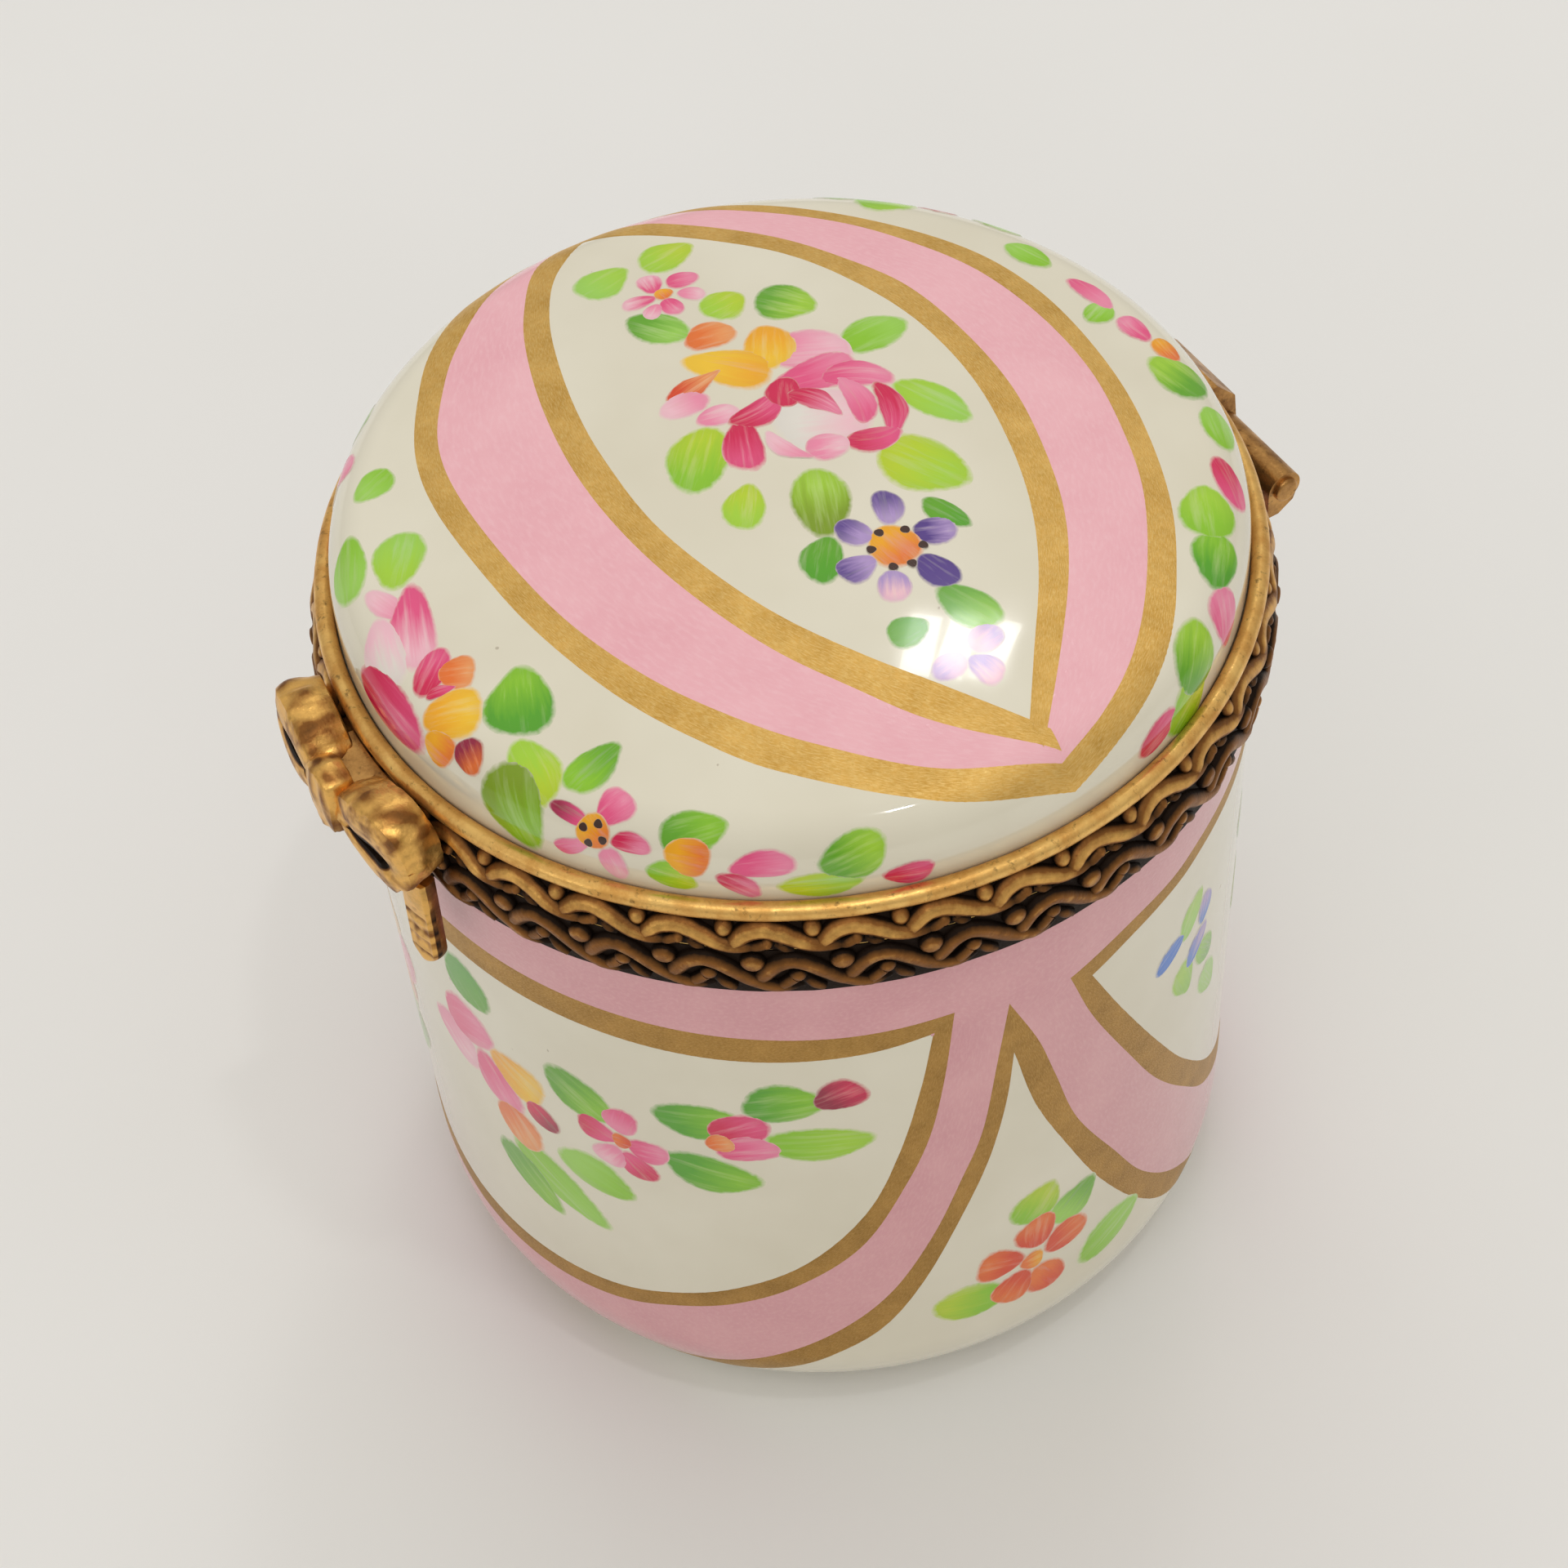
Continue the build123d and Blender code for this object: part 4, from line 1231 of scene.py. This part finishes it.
def castKnot():
    s = bowShape
    letGo()
    bpy.ops.mesh.primitive_uv_sphere_add(segments=64, ring_count=40, radius=1.0, location=(0, 0, 0))
    knot = bpy.context.object
    worn = []
    for vertex in knot.data.vertices:
        x, y, z = vertex.co
        big = 1 / max(abs(x), abs(y), abs(z)) ** 0.55
        x, y, z = x * big, y * big, z * big
        folds = math.sin(7.5 * x + 1.2 * z) * 0.5 + noise.noise(Vector((x * 2.2, y * 2, z * 1.2))) * 1.2
        radius = s["knotRadius"] + clamp(y, -1) * (1.02 - 0.14 * (0.5 + 0.5 * folds))
        height = s["height"] + clamp(z, -1) * (2.15 - 0.25 * abs(x))
        vertex.co = (clamp(x, -1) * s["knotHalf"], min(radius, s["knotFace"]), height)
        worn.append(0.66 + 0.3 * folds)
    bendOntoRim(knot)
    setRelief(knot, worn)
    return knot


tailShape = {
    "middle": 5.62,
    "half": 0.93,
    "top": seam - 1.25,
    "foot": seam - 7.38,
    "back": 25.32,
    "face": 26.38,
    "ridges": 4,
    "ridgesFrom": -0.88,  # of the half length
    "ridgesTo": 0.35,
}


def castTail(side):
    s = tailShape
    letGo()
    bpy.ops.mesh.primitive_cube_add(size=2, location=(0, 0, 0))
    tail = bpy.context.object
    editAll(tail)
    bpy.ops.mesh.subdivide(number_cuts=17)
    editDone()
    worn = []
    for vertex in tail.data.vertices:
        x, y, z = vertex.co
        edge = math.sqrt(1 - 0.28 * y * y)
        end = 1 - 0.34 * max(0.0, (-z - 0.72) / 0.28) ** 2
        long = (s["top"] + s["foot"]) / 2 + z * (s["top"] - s["foot"]) / 2 * (1 - 0.05 * x * x * (z < -0.9))
        ridge = 0.0
        if y > 0 and s["ridgesFrom"] < z < s["ridgesTo"]:
            part = (z - s["ridgesFrom"]) / (s["ridgesTo"] - s["ridgesFrom"])
            ridge = 0.5 + 0.5 * math.sin(part * math.tau * s["ridges"])
        radius = s["back"] + (y + 1) / 2 * (s["face"] - s["back"]) * (1 - 0.1 * x * x) * (0.82 + 0.18 * end)
        radius -= 0.16 * ridge * max(0, y) * (1 - abs(x) ** 4)
        vertex.co = (side * s["middle"] + x * s["half"] * edge * end, radius, long)
        # The face is rubbed bright; the flanks and back take a lower value, darker as painted shade.
        rubbedFaceShadedFlanks = 0.95 if y > 0.5 else 0.4
        worn.append(rubbedFaceShadedFlanks - 0.5 * ridge + 0.3 * noise.noise(Vector((x * 2, y, z * 5))))
    bendOntoRim(tail)
    setRelief(tail, worn)
    return tail


def castBow():
    bow = joinUp([castLoop(-1), castLoop(1), castKnot(), castTail(-1), castTail(1)], "ribbonBow")
    faceOut(bow)
    smoothBy(bow, 50)
    return bow


finishPiece(castBow(), "lid", bowFinish, ["clasp_bow"])
print("bow cast")


def rollWire():
    low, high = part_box("rim_wire")
    thick = (high.z - low.z) / 2
    letGo()
    bpy.ops.mesh.primitive_torus_add(
        major_segments=320, minor_segments=20, major_radius=high.x - thick, minor_radius=thick,
        location=(0, 0, 0),
    )
    wire = bpy.context.object
    for vertex in wire.data.vertices:
        x, y, z = vertex.co
        way = Vector((x, y, 0)).normalized() * (high.x - thick)
        arm = Vector((x, y, z)) - way
        dent = 0.012 * mm * noise.noise(Vector((x, y, z)) * 1100) + 0.02 * mm * noise.noise(Vector((x, y, z)) * 260)
        vertex.co = way + arm * (1 - abs(dent) / thick)
        vertex.co.z += (low.z + high.z) / 2
    wire.name = "rolledWire"
    smoothBy(wire, 60)
    return wire


finishPiece(rollWire(), "lid", wireFinish, ["rim_wire"])

fittings = [
    (insideFinish, ["lower_bezel", "upper_bezel"]),
    (hingeFinish, ["hinge_knuckle_left", "hinge_knuckle_right", "hinge_knuckle_centre", "hinge_pin"]),
    (hingeFinish, ["lower_hinge_leaves", "upper_hinge_leaf", "clasp_block", "clasp_tongue", "catch_bead"]),
    (cementFinish, ["cup_cement", "lid_cement"]),
]
for finish, nodeNames in fittings:
    for nodeName in nodeNames:
        coats = frame["nodes"][nodeName].data.materials
        coats.clear()
        coats.append(finish)
print("metalwork finished")


def layFloor():
    letGo()
    bpy.ops.mesh.primitive_plane_add(size=3.0, location=(0, 0, 0))
    floor = bpy.context.object
    floor.name = "paleFloor"
    n = newFinish("paleFloorPaint")
    body = n.blend(n.noise(30, 2), srgb(240, 239, 237), srgb(236, 235, 232))
    floor.data.materials.append(n.finish({"Base Color": body, "Roughness": 0.8}))


studio = {
    "overhead": 0.74,  # brightness of the soft room, overhead and at the floor
    "aside": 0.34,
    "lamps": [  # azimuth from +X, elevation, distance, width, height, watts, seen in the gloss
        ("leftPane", 130.4, 58.5, 0.9, 0.026, 0.075, 0.065, True),
        ("middlePane", 134.2, 58.8, 0.9, 0.024, 0.075, 0.08, True),
        ("rightPane", 138, 59.2, 0.9, 0.026, 0.07, 0.06, True),
        ("roomWindow", 150, 50, 1.1, 0.8, 0.6, 2.0, False),
        ("ceilingLamp", 10, 72, 0.9, 0.05, 0.02, 0.35, True),
        ("frontSoftbox", -38, 48, 1.2, 1.1, 0.9, 2.3, False),
    ],
    "metalLamps": [  # these two light the metalwork alone
        ("metalSoftbox", -30, 62, 0.8, 0.42, 0.24, 0.85, True),
        ("metalSideLight", -80, 25, 0.8, 0.2, 0.3, 0.3, True),
    ],
}


def setLamps():
    metalwork = bpy.data.collections.new("metalwork")
    for piece in bpy.data.objects:
        if piece.type == "MESH" and piece.active_material in metalFinishes:
            metalwork.objects.link(piece)
    onlyMetal = {lamp[0] for lamp in studio["metalLamps"]}
    lamps = studio["lamps"] + studio["metalLamps"]
    for name, azimuth, elevation, distance, width, height, watts, seen in lamps:
        lamp = bpy.data.lights.new(name, "AREA")
        lamp.shape = "RECTANGLE"
        lamp.size, lamp.size_y = width, height
        lamp.energy = watts
        holder = bpy.data.objects.new(name, lamp)
        bpy.context.scene.collection.objects.link(holder)
        a, e = math.radians(azimuth), math.radians(elevation)
        way = Vector((math.cos(e) * math.cos(a), math.cos(e) * math.sin(a), math.sin(e)))
        holder.location = Vector((0, 0, seam * mm)) + way * distance
        holder.rotation_mode = "QUATERNION"
        holder.rotation_quaternion = way.to_track_quat("Z", "Y")
        holder.visible_glossy = seen
        if name in onlyMetal:
            holder.light_linking.receiver_collection = metalwork
    n = Nodes(bpy.data.worlds.new("softRoom"), "Background")
    bpy.context.scene.world = n.owner
    height = n.put("ShaderNodeSeparateXYZ", {"Vector": n.put("ShaderNodeTexCoord")["Generated"]})["Z"]
    glow = n.spread(height, -0.1, 0.95, studio["aside"], studio["overhead"])
    n.finish({"Color": (1, 0.975, 0.93, 1), "Strength": glow})


viewpoint = {
    "azimuth": 61.5,
    "elevation": 49.3,
    "roll": -4.71,
    "distance": 200.0,
    "aside": -1.28,
    "above": -10.66,
    "lens": 89.44,
}


def setCamera():
    v = viewpoint
    a, e, r = (math.radians(v[key]) for key in ("azimuth", "elevation", "roll"))
    forward = Vector((-math.sin(a) * math.cos(e), math.cos(a) * math.cos(e), -math.sin(e)))
    right = Vector((math.cos(a), math.sin(a), 0))
    up = right.cross(forward)
    place = Vector((0, 0, seam)) - forward * v["distance"] + right * v["aside"] + up * v["above"]
    data = bpy.data.cameras.new("camera")
    data.lens = v["lens"]
    data.sensor_width = 36
    data.clip_start, data.clip_end = 0.01, 10
    camera = bpy.data.objects.new("camera", data)
    bpy.context.scene.collection.objects.link(camera)
    across = math.cos(r) * right + math.sin(r) * up
    turned = Matrix((across, -math.sin(r) * right + math.cos(r) * up, -forward)).transposed()
    camera.matrix_world = Matrix.Translation(place * mm) @ turned.to_4x4()
    bpy.context.scene.camera = camera


layFloor()
setLamps()
setCamera()
bpy.context.scene.view_settings.view_transform = "Standard"
print("studio ready")
